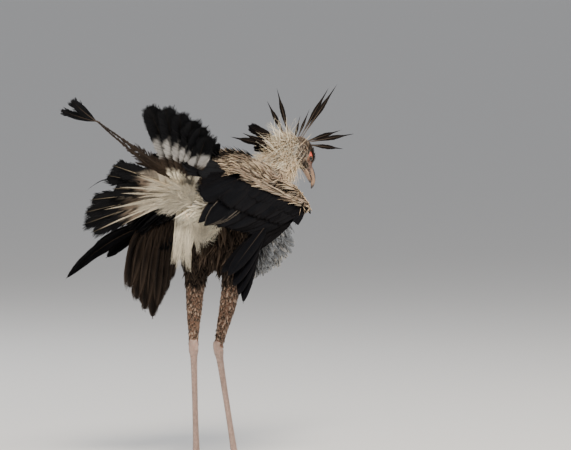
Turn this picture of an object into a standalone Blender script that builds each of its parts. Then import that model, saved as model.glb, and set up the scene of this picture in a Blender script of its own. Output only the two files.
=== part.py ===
"""Secretary bird, life size, as a still museum model: it ruffles all its feathers, with both wings half open
and drooped, the tail fanned and twisted, the crest raised and the head bowed.
+X is the way the body faces, +Y its left and +Z up. The origin is on the floor, under the box's middle."""

import math

import bmesh
import bpy
from mathutils import Matrix, Vector

# Driving sizes, in metres
GAP = 0.0003            # kept between touching pieces
POSE_SHIFT = Vector((0.0274, -0.0069, 0.0))   # brings the box's middle over the origin
SECONDARY_LENGTH = 0.27
VANE_THICKNESS = 0.0009
SHAFT_THICKNESS = 0.0022

TO_REAR_RIGHT = Vector((-0.82, -0.57, 0))
UP = Vector((0, 0, 1))

LEFT, RIGHT = 1, -1
SIDE_WORD = {LEFT: "left", RIGHT: "right"}

# Colours: base colour and roughness
GREY = ((0.56, 0.55, 0.55), 0.8)
WHITE = ((0.80, 0.77, 0.72), 0.8)
BLACK = ((0.022, 0.020, 0.020), 0.6)
HORN = ((0.30, 0.33, 0.36), 0.45)
LEG_PINK = ((0.62, 0.43, 0.38), 0.6)
CLAW = ((0.05, 0.045, 0.04), 0.4)
EYE = ((0.10, 0.06, 0.03), 0.1)


def clear_scene():
    for old in list(bpy.data.objects):
        bpy.data.objects.remove(old)


def material(name, look):
    made = bpy.data.materials.new(name)
    made.use_nodes = True
    shader = made.node_tree.nodes["Principled BSDF"]
    shader.inputs["Base Color"].default_value = (*look[0], 1)
    shader.inputs["Roughness"].default_value = look[1]
    return made


def mesh_object(name, points, faces, look=None):
    data = bpy.data.meshes.new(name)
    data.from_pydata([tuple(p) for p in points], [], faces)
    made = bpy.data.objects.new(name, data)
    bpy.context.scene.collection.objects.link(made)
    if look:
        data.materials.append(material(name, look))
    return made


def unit(*xyz):
    return Vector(xyz).normalized()


def mix(a, b, t):
    return a + (b - a) * t


def across(direction, hint):
    """The unit vector at right angles to direction that is nearest to hint."""
    return (hint - direction * hint.dot(direction)).normalized()


def loft(name, stations, sides, grow=0.0, hint=Vector((0, 1, 0)), look=None):
    """A closed tube of oval rings. A station is its centre, half width along hint and half height."""
    centres = [Vector(s[0]) for s in stations]
    centres[0] += (centres[0] - centres[1]).normalized() * grow
    centres[-1] += (centres[-1] - centres[-2]).normalized() * grow
    points, faces = [], []
    for i, (_, wide, high) in enumerate(stations):
        ahead = centres[min(i + 1, len(centres) - 1)] - centres[max(i - 1, 0)]
        ahead.normalize()
        side = across(ahead, hint)
        up = ahead.cross(side)
        for k in range(sides):
            a = 2 * math.pi * k / sides
            points.append(centres[i] + side * (wide + grow) * math.cos(a) + up * (high + grow) * math.sin(a))
    for i in range(len(stations) - 1):
        for k in range(sides):
            j = (k + 1) % sides
            a, b, c, d = i * sides + k, i * sides + j, (i + 1) * sides + j, (i + 1) * sides + k
            faces += [(a, b, c), (a, c, d)]
    faces.append(tuple(reversed(range(sides))))
    last = (len(stations) - 1) * sides
    faces.append(tuple(range(last, last + sides)))
    made = mesh_object(name, points, faces, look)
    face_out(made)
    return made


def face_out(obj):
    shape = bmesh.new()
    shape.from_mesh(obj.data)
    bmesh.ops.recalc_face_normals(shape, faces=shape.faces)
    if shape.calc_volume(signed=True) < 0:
        bmesh.ops.reverse_faces(shape, faces=shape.faces)
    shape.to_mesh(obj.data)
    shape.free()


# A vane's stations: share of its length, share of its full width
FLIGHT = [(0.0, 0.10), (0.14, 0.45), (0.38, 0.92), (0.68, 1.0), (0.90, 0.74), (1.0, 0.20)]
ROUND = [(0.0, 0.16), (0.2, 0.66), (0.55, 1.0), (0.85, 0.80), (1.0, 0.26)]
CREST_PLAN = [(0.0, 0.16), (0.35, 0.14), (0.6, 0.45), (0.8, 1.0), (0.93, 0.62), (1.0, 0.12)]
PLUME = [(0.0, 0.35), (0.3, 1.0), (0.7, 0.7), (1.0, 0.12)]
STREAMER = [(0.0, 0.25), (0.2, 0.7), (0.45, 0.45), (0.72, 0.3), (0.84, 0.9), (0.94, 1.0), (1.0, 0.25)]


def vane(root, direction, normal, length, width, plan=FLIGHT, lift=0.0, sweep=0.0, twist=0.0, grow=0.0):
    """One feather as a thin plate along a curve. It lifts along the normal and sweeps sideways by its tip."""
    side = direction.cross(across(direction, normal))
    normal = side.cross(direction)
    points = []
    for share, wide in plan:
        middle = root + direction * length * share + (normal * lift + side * sweep) * share * share
        slope = (direction * length + (normal * lift + side * sweep) * 2 * share).normalized()
        turn = Matrix.Rotation(twist * share, 3, slope)
        out = turn @ across(slope, side)
        up = slope.cross(out) if slope.cross(out).dot(turn @ normal) > 0 else out.cross(slope)
        half = mix(SHAFT_THICKNESS, VANE_THICKNESS, min(1, share * 2.5)) / 2 + grow
        middle += slope * grow * (share * 2 - 1)
        for reach in (-0.5, 0.5):
            for level in (half, -half):
                points.append(middle + out * (width * wide + 2 * grow) * reach + up * level)
    faces = []
    for i in range(len(plan) - 1):
        a, b = 4 * i, 4 * i + 4
        # Both faces are split along the same diagonal, so that they stay apart where the vane curves.
        faces += [(a, a + 2, b + 2), (a, b + 2, b), (a + 1, b + 3, a + 3), (a + 1, b + 1, b + 3)]
        faces += [(a, b, b + 1), (a, b + 1, a + 1), (a + 2, a + 3, b + 3), (a + 2, b + 3, b + 2)]
    end = 4 * (len(plan) - 1)
    faces += [(0, 1, 3), (0, 3, 2), (end, end + 2, end + 3), (end, end + 3, end + 1)]
    made = mesh_object("piece", points, faces)
    face_out(made)
    return made


def apply_boolean(obj, operation, others, solver):
    group = bpy.data.collections.new("others")
    bpy.context.scene.collection.children.link(group)
    for other in others:
        bpy.context.scene.collection.objects.unlink(other)
        group.objects.link(other)
    step = obj.modifiers.new("join", "BOOLEAN")
    step.operation = operation
    step.operand_type = "COLLECTION"
    step.collection = group
    step.solver = solver
    graph = bpy.context.evaluated_depsgraph_get()
    result = bpy.data.meshes.new_from_object(obj.evaluated_get(graph))
    obj.modifiers.remove(step)
    kept = list(obj.data.materials)
    obj.data = result
    obj.data.materials.clear()
    for look in kept:
        obj.data.materials.append(look)
    for polygon in obj.data.polygons:
        polygon.material_index = 0
    for other in list(group.objects):
        bpy.data.objects.remove(other)
    bpy.data.collections.remove(group)


def keep_largest(obj):
    """Leaves the closed surface that holds most volume."""
    shape = bmesh.new()
    shape.from_mesh(obj.data)
    seen, islands = set(), []
    for start in shape.verts:
        if start in seen:
            continue
        found, queue = [], [start]
        seen.add(start)
        while queue:
            here = queue.pop()
            found.append(here)
            for edge in here.link_edges:
                other = edge.other_vert(here)
                if other not in seen:
                    seen.add(other)
                    queue.append(other)
        islands.append(found)

    def volume(verts):
        faces = {f for v in verts for f in v.link_faces}
        total = 0.0
        for f in faces:
            corners = [v.co for v in f.verts]
            for k in range(1, len(corners) - 1):
                total += corners[0].dot(corners[k].cross(corners[k + 1])) / 6
        return total

    islands.sort(key=volume)
    for scrap in islands[:-1]:
        bmesh.ops.delete(shape, geom=scrap, context="VERTS")
    shape.to_mesh(obj.data)
    shape.free()


def join(obj, pieces):
    if pieces:
        apply_boolean(obj, "UNION", pieces, "MANIFOLD")
    keep_largest(obj)


def cut(obj, cutters):
    apply_boolean(obj, "DIFFERENCE", cutters, "MANIFOLD")
    keep_largest(obj)


# Torso, neck and thighs: stations of centre, half width and half height
TORSO = [
    ((-0.112, 0, 0.716), 0.014, 0.016), ((-0.098, 0, 0.712), 0.034, 0.038),
    ((-0.060, 0, 0.713), 0.058, 0.071), ((-0.010, 0, 0.718), 0.078, 0.114),
    ((0.040, 0, 0.716), 0.093, 0.143), ((0.100, 0, 0.705), 0.102, 0.152),
    ((0.160, 0, 0.698), 0.100, 0.146), ((0.215, 0, 0.702), 0.090, 0.126), ((0.260, 0, 0.715), 0.070, 0.095),
    ((0.292, 0, 0.730), 0.044, 0.060), ((0.306, 0, 0.738), 0.020, 0.028),
]
NECK = [
    ((0.215, 0, 0.735), 0.052, 0.052), ((0.262, 0, 0.762), 0.054, 0.056), ((0.305, 0, 0.785), 0.050, 0.054),
    ((0.345, -0.001, 0.806), 0.046, 0.051), ((0.368, -0.002, 0.819), 0.038, 0.043),
    ((0.384, -0.003, 0.826), 0.028, 0.032), ((0.392, -0.003, 0.829), 0.014, 0.016),
]
NAPE = [
    ((0.412, -0.006, 0.850), 0.020, 0.022), ((0.395, -0.005, 0.852), 0.029, 0.032),
    ((0.368, -0.003, 0.850), 0.035, 0.036), ((0.345, -0.001, 0.845), 0.035, 0.037),
    ((0.326, 0.000, 0.838), 0.027, 0.028), ((0.318, 0.000, 0.836), 0.014, 0.015),
]
LEGS = {
    LEFT: {
        "thigh": [
            ((0.040, 0.058, 0.660), 0.040, 0.052), ((0.036, 0.060, 0.600), 0.047, 0.060),
            ((0.028, 0.060, 0.560), 0.046, 0.055), ((0.018, 0.059, 0.525), 0.034, 0.038),
            ((0.012, 0.058, 0.490), 0.0285, 0.031), ((0.006, 0.057, 0.430), 0.0245, 0.026),
            ((0.002, 0.056, 0.375), 0.0190, 0.0200), ((0.000, 0.055, 0.338), 0.0150, 0.0160),
        ],
        "ankle": Vector((0.0, 0.055, 0.322)),
        "foot": Vector((0.066, 0.0934, 0.016)),
        "turn": math.radians(14),
    },
    RIGHT: {
        "thigh": [
            ((0.052, -0.058, 0.660), 0.040, 0.052), ((0.050, -0.060, 0.600), 0.047, 0.060),
            ((0.044, -0.058, 0.560), 0.046, 0.055), ((0.036, -0.053, 0.525), 0.034, 0.038),
            ((0.031, -0.049, 0.490), 0.0285, 0.031), ((0.019, -0.043, 0.430), 0.0245, 0.026),
            ((0.004, -0.037, 0.375), 0.0190, 0.0200), ((-0.005, -0.034, 0.338), 0.0150, 0.0160),
        ],
        "ankle": Vector((-0.008, -0.033, 0.322)),
        "foot": Vector((0.066, -0.037, 0.016)),
        "turn": math.radians(-12),
    },
}
# A toe: its turn from straight ahead, its length and its half width
TOES = [
    ("outer", -30, 0.056, 0.0080), ("middle", 0, 0.074, 0.0086),
    ("inner", 30, 0.056, 0.0082), ("hind", 178, 0.030, 0.0075),
]
CLAW_LENGTH = 0.022
# Loose feathers at the vent: root x and y, lean and length
VENT_PLUMES = [
    (-0.088, 0.026, 0.10, 0.165), (-0.080, 0.012, -0.06, 0.185), (-0.074, -0.004, 0.05, 0.170),
    (-0.068, -0.018, -0.16, 0.150), (-0.062, 0.000, -0.30, 0.125), (-0.084, 0.018, 0.28, 0.120),
]

# Head: middle of the eyes, turn of the face and how far it bows
HEAD_CENTRE = Vector((0.4276, -0.010, 0.8225))
HEAD_TURN = math.radians(-12)
HEAD_BOW = math.radians(58)
EYE_RADIUS = 0.0095
EYE_OUT = 0.0185
# Along the face: forward, up, half width, half height
SKULL = [
    (-0.050, -0.002, 0.014, 0.015), (-0.042, -0.001, 0.026, 0.026), (-0.024, 0.000, 0.0305, 0.0315),
    (-0.004, 0.000, 0.0275, 0.0300), (0.014, -0.002, 0.0220, 0.0250), (0.028, -0.004, 0.0165, 0.0190),
    (0.037, -0.004, 0.0130, 0.0155),
]
UPPER_BILL = [
    (0.033, -0.001, 0.0118, 0.0125), (0.046, 0.002, 0.0105, 0.0112), (0.060, 0.001, 0.0088, 0.0100),
    (0.073, -0.004, 0.0066, 0.0080), (0.083, -0.012, 0.0042, 0.0055), (0.088, -0.021, 0.0015, 0.0020),
]
NOSTRIL = [(0.040, 0.0112, 0.0045, 0.0005), (0.043, 0.0110, 0.0050, 0.0013), (0.048, 0.0104, 0.0055, 0.0005)]
LOWER_BILL = [
    (0.031, -0.014, 0.0100, 0.0055), (0.046, -0.0135, 0.0085, 0.0048), (0.060, -0.0135, 0.0062, 0.0040),
    (0.072, -0.0145, 0.0030, 0.0022),
]

# Crest: share of the way from crown to nape, turn from straight ahead, rise, length and width
CREST = [
    (0.00, -30, -7, 0.145, 0.017), (0.05, -25, 8, 0.188, 0.016), (0.12, -20, 14, 0.155, 0.018),
    (0.10, -16, 49, 0.222, 0.018), (0.20, -6, 48, 0.215, 0.017), (0.28, 12, 42, 0.150, 0.008),
    (0.36, 26, 32, 0.150, 0.008), (0.44, 66, 64, 0.185, 0.014), (0.52, 88, 58, 0.160, 0.014),
    (0.62, 126, 30, 0.135, 0.026), (0.72, 158, 12, 0.205, 0.019), (0.82, 142, 6, 0.105, 0.025),
    (0.92, 166, 20, 0.178, 0.015),
]
CREST_TOP = Vector((0.412, -0.006, 0.862))
CREST_NAPE = Vector((0.338, 0.0, 0.842))

# Wing bones, for the left wing; the right one mirrors them in Y
SHOULDER = Vector((0.195, 0.088, 0.775))
ELBOW = Vector((-0.016, 0.112, 0.785))
WRIST = Vector((0.166, 0.200, 0.705))
FEATHER_PITCH = 0.0013  # step from one vane to the next, across the stack
# Aims of the first and last vane of each group; the outer primaries have their own
WING_SET = {
    LEFT: {
        "tertial": (unit(-0.80, 0.30, 0.02), unit(-0.88, 0.24, -0.30)),
        "secondary": (unit(-0.90, 0.08, -0.42), unit(-0.94, 0.06, -0.30)),
        "primary": (unit(-0.20, 0.0, -0.98), unit(-0.80, 0.0, -0.60)),
        "primary_shape": {"lengths": (0.225, 0.225), "bow": 0.060, "sweep": 0.060},
        "outer": (unit(-0.77, 0.22, -0.59), unit(-0.80, 0.24, -0.53)), "outer_lengths": (0.205, 0.290),
        "normals": (unit(0.02, 1.0, -0.06), unit(0.30, 0.85, 0.30)), "outer_layer": 0.0,
        "hand_tip": Vector((-0.030, 0.190, 0.645)),
    },
    RIGHT: {
        "tertial": (unit(-0.99, 0.02, 0.10), unit(-0.97, 0.04, -0.20)),
        "secondary": (unit(-0.90, 0.06, -0.42), unit(-0.97, 0.03, -0.21)),
        "primary": (unit(-0.96, -0.03, -0.26), unit(-0.76, 0.22, -0.58)),
        "primary_shape": {"lengths": (0.266, 0.320), "bow": 0.0, "sweep": 0.0},
        "outer": (unit(-0.70, 0.27, -0.65), unit(-0.67, 0.30, -0.68)), "outer_lengths": (0.345, 0.355),
        "normals": (unit(-0.39, 0.42, 0.82), unit(-0.39, 0.42, 0.82)), "outer_layer": FEATHER_PITCH * 4.5,
        "hand_tip": Vector((0.012, 0.160, 0.660)),
    },
}

ALULA = (unit(-0.80, 0.10, -0.58), unit(-0.86, 0.10, -0.50))

# Tail: root, axis, roll towards the left and half spread of the fan
TAIL_ROOT = Vector((-0.112, 0.0, 0.748))
TAIL_AXIS = unit(-0.92, 0.06, 0.37)
TAIL_ROLL = math.radians(45)
# Each rectrix: its turn within the fan, from the right edge to the left one, and its length
RECTRICES = [
    (-53, 0.235), (-46, 0.270), (-39, 0.310), (-31, 0.365), (-24, 0.400), (5, 0.275),
    (14, 0.250), (23, 0.270), (33, 0.275), (42, 0.290), (51, 0.305), (60, 0.285),
]
# The white coverts under them: turn and length
UNDERTAIL = [
    (-48, 0.130), (-34, 0.150), (-20, 0.160), (-6, 0.150), (10, 0.145), (26, 0.150), (42, 0.150), (56, 0.135),
]
# The two long middle feathers: turn, length, sideways sweep of the tip, twist
STREAMERS = [(-7.0, 0.548, 0.060, 0.9), (-7.6, 0.558, 0.018, -0.6)]


def mirrored(point, side):
    return Vector((point.x, point.y * side, point.z))


def head_frame():
    level = Vector((math.cos(HEAD_TURN), math.sin(HEAD_TURN), 0))
    ahead = level * math.cos(HEAD_BOW) - Vector((0, 0, math.sin(HEAD_BOW)))
    left = Vector((-math.sin(HEAD_TURN), math.cos(HEAD_TURN), 0))
    return ahead, left, ahead.cross(left)


def on_head(ahead_by, left_by, up_by):
    ahead, left, up = head_frame()
    return HEAD_CENTRE + ahead * ahead_by + left * left_by + up * up_by


def head_loft(name, rows, sides, grow=0.0, look=None):
    stations = [(on_head(along, 0, up), wide, high) for along, up, wide, high in rows]
    return loft(name, stations, sides, grow, head_frame()[1], look)


def ball(name, centre, radius, detail=2, look=None):
    shape = bmesh.new()
    bmesh.ops.create_icosphere(shape, subdivisions=detail, radius=radius)
    bmesh.ops.translate(shape, verts=shape.verts, vec=centre)
    data = bpy.data.meshes.new(name)
    shape.to_mesh(data)
    shape.free()
    made = bpy.data.objects.new(name, data)
    bpy.context.scene.collection.objects.link(made)
    if look:
        data.materials.append(material(name, look))
    return made


def ring(centre, axis, radius, thickness, around=18, sides=6):
    """A small torus, for an eyelid."""
    u = across(axis, Vector((0.3, 0.2, 0.9)))
    v = axis.cross(u)
    points, faces = [], []
    for i in range(around):
        a = 2 * math.pi * i / around
        out = u * math.cos(a) + v * math.sin(a)
        for k in range(sides):
            b = 2 * math.pi * k / sides
            points.append(centre + out * (radius + thickness * math.cos(b)) + axis * thickness * math.sin(b))
    for i in range(around):
        for k in range(sides):
            n, m = (i + 1) % around, (k + 1) % sides
            a, b, c, d = i * sides + k, n * sides + k, n * sides + m, i * sides + m
            faces += [(a, b, c), (a, c, d)]
    made = mesh_object("piece", points, faces)
    face_out(made)
    return made


def crest_feathers():
    pieces = []
    for place, turn, rise, length, width in CREST:
        turn, rise = math.radians(turn), math.radians(rise)
        direction = Vector((math.cos(rise) * math.cos(turn), math.cos(rise) * math.sin(turn), math.sin(rise)))
        root = mix(CREST_TOP, CREST_NAPE, place) - direction * 0.012
        pieces.append(vane(root, direction, TO_REAR_RIGHT, length, width, CREST_PLAN, lift=0.01))
    return pieces


def make_head():
    head = head_loft("head", SKULL, 18, look=GREY)
    ahead, left, up = head_frame()
    lids = []
    for side in (LEFT, RIGHT):
        looks_out = (left * side + ahead * 0.25).normalized()
        lids.append(ring(on_head(0.002, side * 0.0235, 0.002), looks_out, 0.0088, 0.0022))
    join(head, [loft("nape", NAPE, 16)] + lids + crest_feathers())
    eyes = {side: on_head(0.002, side * EYE_OUT, 0.002) for side in (LEFT, RIGHT)}
    cut(head, [ball("socket", eyes[side], EYE_RADIUS + GAP) for side in eyes])
    for side in eyes:
        ball("eye_" + SIDE_WORD[side], eyes[side], EYE_RADIUS, look=EYE)


def make_bill():
    upper = head_loft("bill_upper", UPPER_BILL, 12, look=HORN)
    nostrils = []
    for side in (LEFT, RIGHT):
        nostrils.append(loft("nostril", [(on_head(a, side * b, c), r, r) for a, b, c, r in NOSTRIL], 6))
    cut(upper, nostrils + [head_loft("cere_edge", SKULL, 18, GAP)])
    lower = head_loft("bill_lower", LOWER_BILL, 10, look=HORN)
    cut(lower, [head_loft("mouth_line", UPPER_BILL, 12, 2 * GAP), head_loft("chin_edge", SKULL, 18, GAP)])


def make_neck():
    neck = loft("neck", NECK, 16, look=GREY)
    head_side = [loft("nape_edge", NAPE, 16, GAP), head_loft("chin_side", SKULL, 18, GAP)]
    cut(neck, [loft("breast", TORSO, 22, GAP)] + head_side)


def plume_pieces():
    """Loose white feathers that hang from the vent."""
    pieces = []
    for i, (x, y, lean, length) in enumerate(VENT_PLUMES):
        direction = unit(-0.12 - 0.03 * (i % 3), lean * 0.6, -1)
        root, sweep = Vector((x, y, 0.705)), 0.01 * (-1) ** i
        pieces.append(vane(root, direction, TO_REAR_RIGHT, length, 0.024, PLUME, lift=0.012, sweep=sweep))
    return pieces


def make_torso():
    torso = loft("torso", TORSO, 22, look=GREY)
    join(torso, plume_pieces())
    return torso


def scuted(path, sides, steps, lip):
    """Stations along a limb with a small step at each scute, so that the plates stand proud."""
    stations = []
    for i in range(steps):
        for share, out in ((i / steps, 0.0), ((i + 0.93) / steps, lip)):
            place = share * (len(path) - 1)
            k = min(int(place), len(path) - 2)
            t = place - k
            centre = mix(Vector(path[k][0]), Vector(path[k + 1][0]), t)
            wide, high = (mix(path[k][n], path[k + 1][n], t) + out for n in (1, 2))
            stations.append((centre, wide, high))
    stations.append(path[-1])
    return stations


def make_leg(side):
    leg, word = LEGS[side], SIDE_WORD[side]
    ankle, foot = leg["ankle"], leg["foot"]
    thigh = loft("thigh_" + word, leg["thigh"], 16, look=BLACK)
    cut(thigh, [loft("flank", TORSO, 22, GAP)])
    shank = (foot - ankle).normalized()
    path = [
        (ankle - shank * 0.022, 0.0105, 0.0115), (ankle - shank * 0.008, 0.0132, 0.0145),
        (ankle + shank * 0.010, 0.0125, 0.0138), (ankle + shank * 0.034, 0.0088, 0.0104),
        (mix(ankle, foot, 0.35), 0.0074, 0.0092), (mix(ankle, foot, 0.65), 0.0072, 0.0088),
        (mix(ankle, foot, 0.88), 0.0084, 0.0098), (foot - shank * 0.004, 0.0105, 0.0115),
    ]
    tarsus = loft("tarsus_" + word, scuted(path, 10, 15, 0.0009), 10, look=LEG_PINK)
    cut(tarsus, [loft("trouser", leg["thigh"], 16, GAP)])
    make_foot(side, path)


def make_foot(side, path):
    leg, word = LEGS[side], SIDE_WORD[side]
    foot = leg["foot"]
    hub = ball("foot_" + word, Vector((foot.x, foot.y, 0.0115)), 0.0150, 2, LEG_PINK)
    toes = []
    for name, turn, length, wide in TOES:
        heading = leg["turn"] + math.radians(turn) * -side
        direction = Vector((math.cos(heading), math.sin(heading), 0))
        start = Vector((foot.x, foot.y, 0.0085))
        end = start + direction * length
        end.z = 0.0065
        toe = [
            (start, wide, wide * 0.95), (mix(start, end, 0.35), wide * 0.86, wide * 0.86),
            (mix(start, end, 0.55), wide * 0.96, wide * 0.92),
            (mix(start, end, 0.75), wide * 0.80, wide * 0.80),
            (mix(start, end, 0.92), wide * 0.84, wide * 0.80), (end, wide * 0.45, wide * 0.45),
        ]
        toes.append(loft("toe", scuted(toe, 8, 6, 0.0006), 8))
        tip = end - direction * 0.004
        claw_root = Vector((tip.x, tip.y, 0.0080))
        claw = [
            (claw_root, 0.0036, 0.0042),
            (claw_root + direction * CLAW_LENGTH * 0.4 + Vector((0, 0, 0.001)), 0.0030, 0.0038),
            (claw_root + direction * CLAW_LENGTH * 0.78 - Vector((0, 0, 0.0018)), 0.0019, 0.0024),
            (claw_root + direction * CLAW_LENGTH - Vector((0, 0, 0.0056)), 0.0005, 0.0006),
        ]
        nail = loft("claw_%s_%s" % (word, name), claw, 8, look=CLAW)
        cut(nail, [loft("toe_end", toe, 8, GAP + 0.0006)])
    join(hub, toes)
    cut(hub, [loft("shank_end", scuted(path, 10, 15, 0.0009), 10, GAP), floor_block()])


def floor_block():
    """What lies below the floor: it cuts the flats under the toes."""
    shape = bmesh.new()
    bmesh.ops.create_cube(shape, size=1.0)
    bmesh.ops.translate(shape, verts=shape.verts, vec=(0, 0, -0.5))
    data = bpy.data.meshes.new("floor_block")
    shape.to_mesh(data)
    shape.free()
    made = bpy.data.objects.new("floor_block", data)
    bpy.context.scene.collection.objects.link(made)
    return made


def fan(count, roots, aims, normal, lengths, widths, layer, pitch, bow=0.0, **more):
    """Vanes side by side in parallel planes, from the first of each pair to its second."""
    pieces = []
    for i in range(count):
        t = i / max(1, count - 1)
        aim = across(normal, mix(*aims, t))
        root = mix(*roots, t) + normal * (layer - pitch * i) - aim * 0.006
        length = mix(*lengths, t) + bow * 4 * t * (1 - t)
        pieces.append(vane(root, aim, normal, length, mix(*widths, t), **more))
    return pieces


def arm_core(name, side, grow=0.0, look=None):
    shoulder, elbow, wrist = (mirrored(p, side) for p in (SHOULDER, ELBOW, WRIST))
    fore = (wrist - elbow).normalized()
    return loft(name, [
        (elbow - fore * 0.006, 0.010, 0.010), (elbow + fore * 0.006, 0.0185, 0.0185),
        (mix(elbow, wrist, 0.35), 0.018, 0.018), (mix(elbow, wrist, 0.7), 0.0155, 0.0155),
        (wrist - fore * 0.008, 0.015, 0.015), (wrist + fore * 0.010, 0.010, 0.010),
        (wrist + fore * 0.016, 0.004, 0.004)], 10, grow, UP, look)


def upper_arm_core(name, side, grow=0.0, look=None):
    shoulder, elbow = mirrored(SHOULDER, side), mirrored(ELBOW, side)
    return loft(name, [
        (shoulder + (shoulder - elbow) * 0.10, 0.012, 0.012), (shoulder, 0.031, 0.024),
        (mix(shoulder, elbow, 0.4), 0.035, 0.024), (mix(shoulder, elbow, 0.8), 0.029, 0.023),
        (mix(shoulder, elbow, 1.0), 0.0205, 0.0205), (mix(shoulder, elbow, 1.06), 0.010, 0.010)],
        10, grow, UP, look)


def hand_line(side):
    wrist, tip = mirrored(WRIST, side), mirrored(WING_SET[side]["hand_tip"], side)
    return wrist - outward(side) * 0.010 - Vector((0, 0, 0.006)), tip


def hand_core(name, side, grow=0.0, look=None):
    start, tip = hand_line(side)
    return loft(name, [
        (mix(start, tip, -0.03), 0.009, 0.009), (mix(start, tip, 0.08), 0.0145, 0.0145),
        (mix(start, tip, 0.5), 0.015, 0.015), (mix(start, tip, 0.9), 0.013, 0.013),
        (mix(start, tip, 1.03), 0.005, 0.005)], 10, grow, UP, look)


def wing_points(side):
    return [mirrored(p, side) for p in (SHOULDER, ELBOW, WRIST)]


def wing_aims(side, group):
    return [mirrored(aim, side) for aim in WING_SET[side][group]]


def outward(side):
    return mirrored(unit(-0.16, 0.83, 0.54), side)


def tertials(side, grow=0.0):
    shoulder, elbow, _ = wing_points(side)
    roots = (mix(shoulder, elbow, 0.62), mix(shoulder, elbow, 0.96))
    return fan(5, roots, wing_aims(side, "tertial"), outward(side), (0.250, 0.225), (0.052, 0.056), 0.0205,
               FEATHER_PITCH, plan=ROUND, lift=-0.004, grow=grow)


def secondaries(side, grow=0.0):
    _, elbow, wrist = wing_points(side)
    roots = (mix(elbow, wrist, 0.06), mix(elbow, wrist, 0.95))
    lengths = (SECONDARY_LENGTH, SECONDARY_LENGTH * 0.88)
    return fan(12, roots, wing_aims(side, "secondary"), outward(side), lengths, (0.046, 0.044), 0.006,
               FEATHER_PITCH, lift=-0.010, grow=grow)


def coverts(side, grow=0.0):
    _, elbow, wrist = wing_points(side)
    roots = (mix(elbow, wrist, 0.05), mix(elbow, wrist, 0.96))
    return fan(10, roots, wing_aims(side, "secondary"), outward(side), (0.115, 0.105), (0.036, 0.034), 0.012,
               FEATHER_PITCH, plan=ROUND, lift=-0.002, grow=grow)


def primaries(side):
    start, tip = hand_line(side)
    roots, aims = (mix(start, tip, 0.16), mix(start, tip, 0.76)), wing_aims(side, "primary")
    inner, outer = (mirrored(normal, side) for normal in WING_SET[side]["normals"])
    shape = WING_SET[side]["primary_shape"]
    pieces = fan(8, roots, aims, inner, shape["lengths"], (0.046, 0.042), -0.005, -FEATHER_PITCH,
                 shape["bow"], lift=-0.006, sweep=shape["sweep"])
    pieces += fan(7, roots, aims, inner, (0.100, 0.120), (0.030, 0.030), 0.0012, -FEATHER_PITCH, plan=ROUND,
                  lift=-0.001)
    roots, layer = (mix(start, tip, 0.84), mix(start, tip, 0.93)), WING_SET[side]["outer_layer"]
    pieces += fan(2, roots, wing_aims(side, "outer"), outer, WING_SET[side]["outer_lengths"], (0.040, 0.034),
                  layer, -FEATHER_PITCH, lift=-0.006)
    roots = (mix(start, tip, 0.04), mix(start, tip, 0.12))
    pieces += fan(2, roots, [mirrored(aim, side) for aim in ALULA], outward(side), (0.070, 0.055),
                  (0.018, 0.016), 0.010, -FEATHER_PITCH, plan=ROUND)
    return pieces


def make_wing(side):
    word = SIDE_WORD[side]
    upper = upper_arm_core("wing_%s_shoulder" % word, side, look=BLACK)
    join(upper, tertials(side))
    cut(upper, [loft("side_wall", TORSO, 22, GAP)])

    arm = arm_core("wing_%s_arm" % word, side, look=BLACK)
    join(arm, secondaries(side) + coverts(side))
    cut(arm, [upper_arm_core("upper_gap", side, GAP)] + tertials(side, GAP))

    palm = hand_core("wing_%s_hand" % word, side, look=BLACK)
    join(palm, primaries(side))
    cut(palm, [arm_core("arm_gap", side, GAP)] + secondaries(side, GAP) + coverts(side, GAP))


def make_tail():
    left = across(TAIL_AXIS, Vector((0, 1, 0)))
    up = TAIL_AXIS.cross(left)
    up = up if up.z > 0 else -up
    edge = left * math.cos(TAIL_ROLL) - up * math.sin(TAIL_ROLL)
    back = up * math.cos(TAIL_ROLL) + left * math.sin(TAIL_ROLL)
    tail = loft("tail", [
        (TAIL_ROOT - TAIL_AXIS * 0.034, 0.020, 0.016), (TAIL_ROOT - TAIL_AXIS * 0.012, 0.036, 0.024),
        (TAIL_ROOT + TAIL_AXIS * 0.010, 0.040, 0.026), (TAIL_ROOT + TAIL_AXIS * 0.030, 0.028, 0.019),
        (TAIL_ROOT + TAIL_AXIS * 0.042, 0.010, 0.007)], 14, hint=edge, look=WHITE)
    pieces = []
    for i, (turn, length) in enumerate(RECTRICES):
        angle = math.radians(turn)
        aim = TAIL_AXIS * math.cos(angle) + edge * math.sin(angle)
        root = TAIL_ROOT + back * (i - 5.5) * 0.0014
        pieces.append(vane(root, aim, back, length, 0.060, ROUND, lift=-0.012))
    for i, (turn, length) in enumerate(UNDERTAIL):
        angle = math.radians(turn)
        aim = TAIL_AXIS * math.cos(angle) + edge * math.sin(angle)
        root = TAIL_ROOT + back * ((i - len(UNDERTAIL)) * 0.0012 - 0.0088)
        pieces.append(vane(root, aim, back, length, 0.044, ROUND, lift=-0.012))
    for i, (turn, length, sweep, twist) in enumerate(STREAMERS):
        angle = math.radians(turn)
        aim = TAIL_AXIS * math.cos(angle) + edge * math.sin(angle)
        root = TAIL_ROOT + back * (0.0115 + 0.0022 * i) + edge * 0.006 * (1 - 2 * i)
        pieces.append(vane(root, aim, back, length, 0.034, STREAMER, lift=0.010, sweep=sweep, twist=twist))
    join(tail, pieces)
    cut(tail, [loft("rump", TORSO, 22, GAP)] + tertials(RIGHT, GAP))


clear_scene()
make_torso()
make_neck()
make_head()
make_bill()
for each_side in (LEFT, RIGHT):
    make_leg(each_side)
    make_wing(each_side)
make_tail()
for shown in bpy.data.objects:
    shown.data.transform(Matrix.Translation(POSE_SHIFT))
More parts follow.
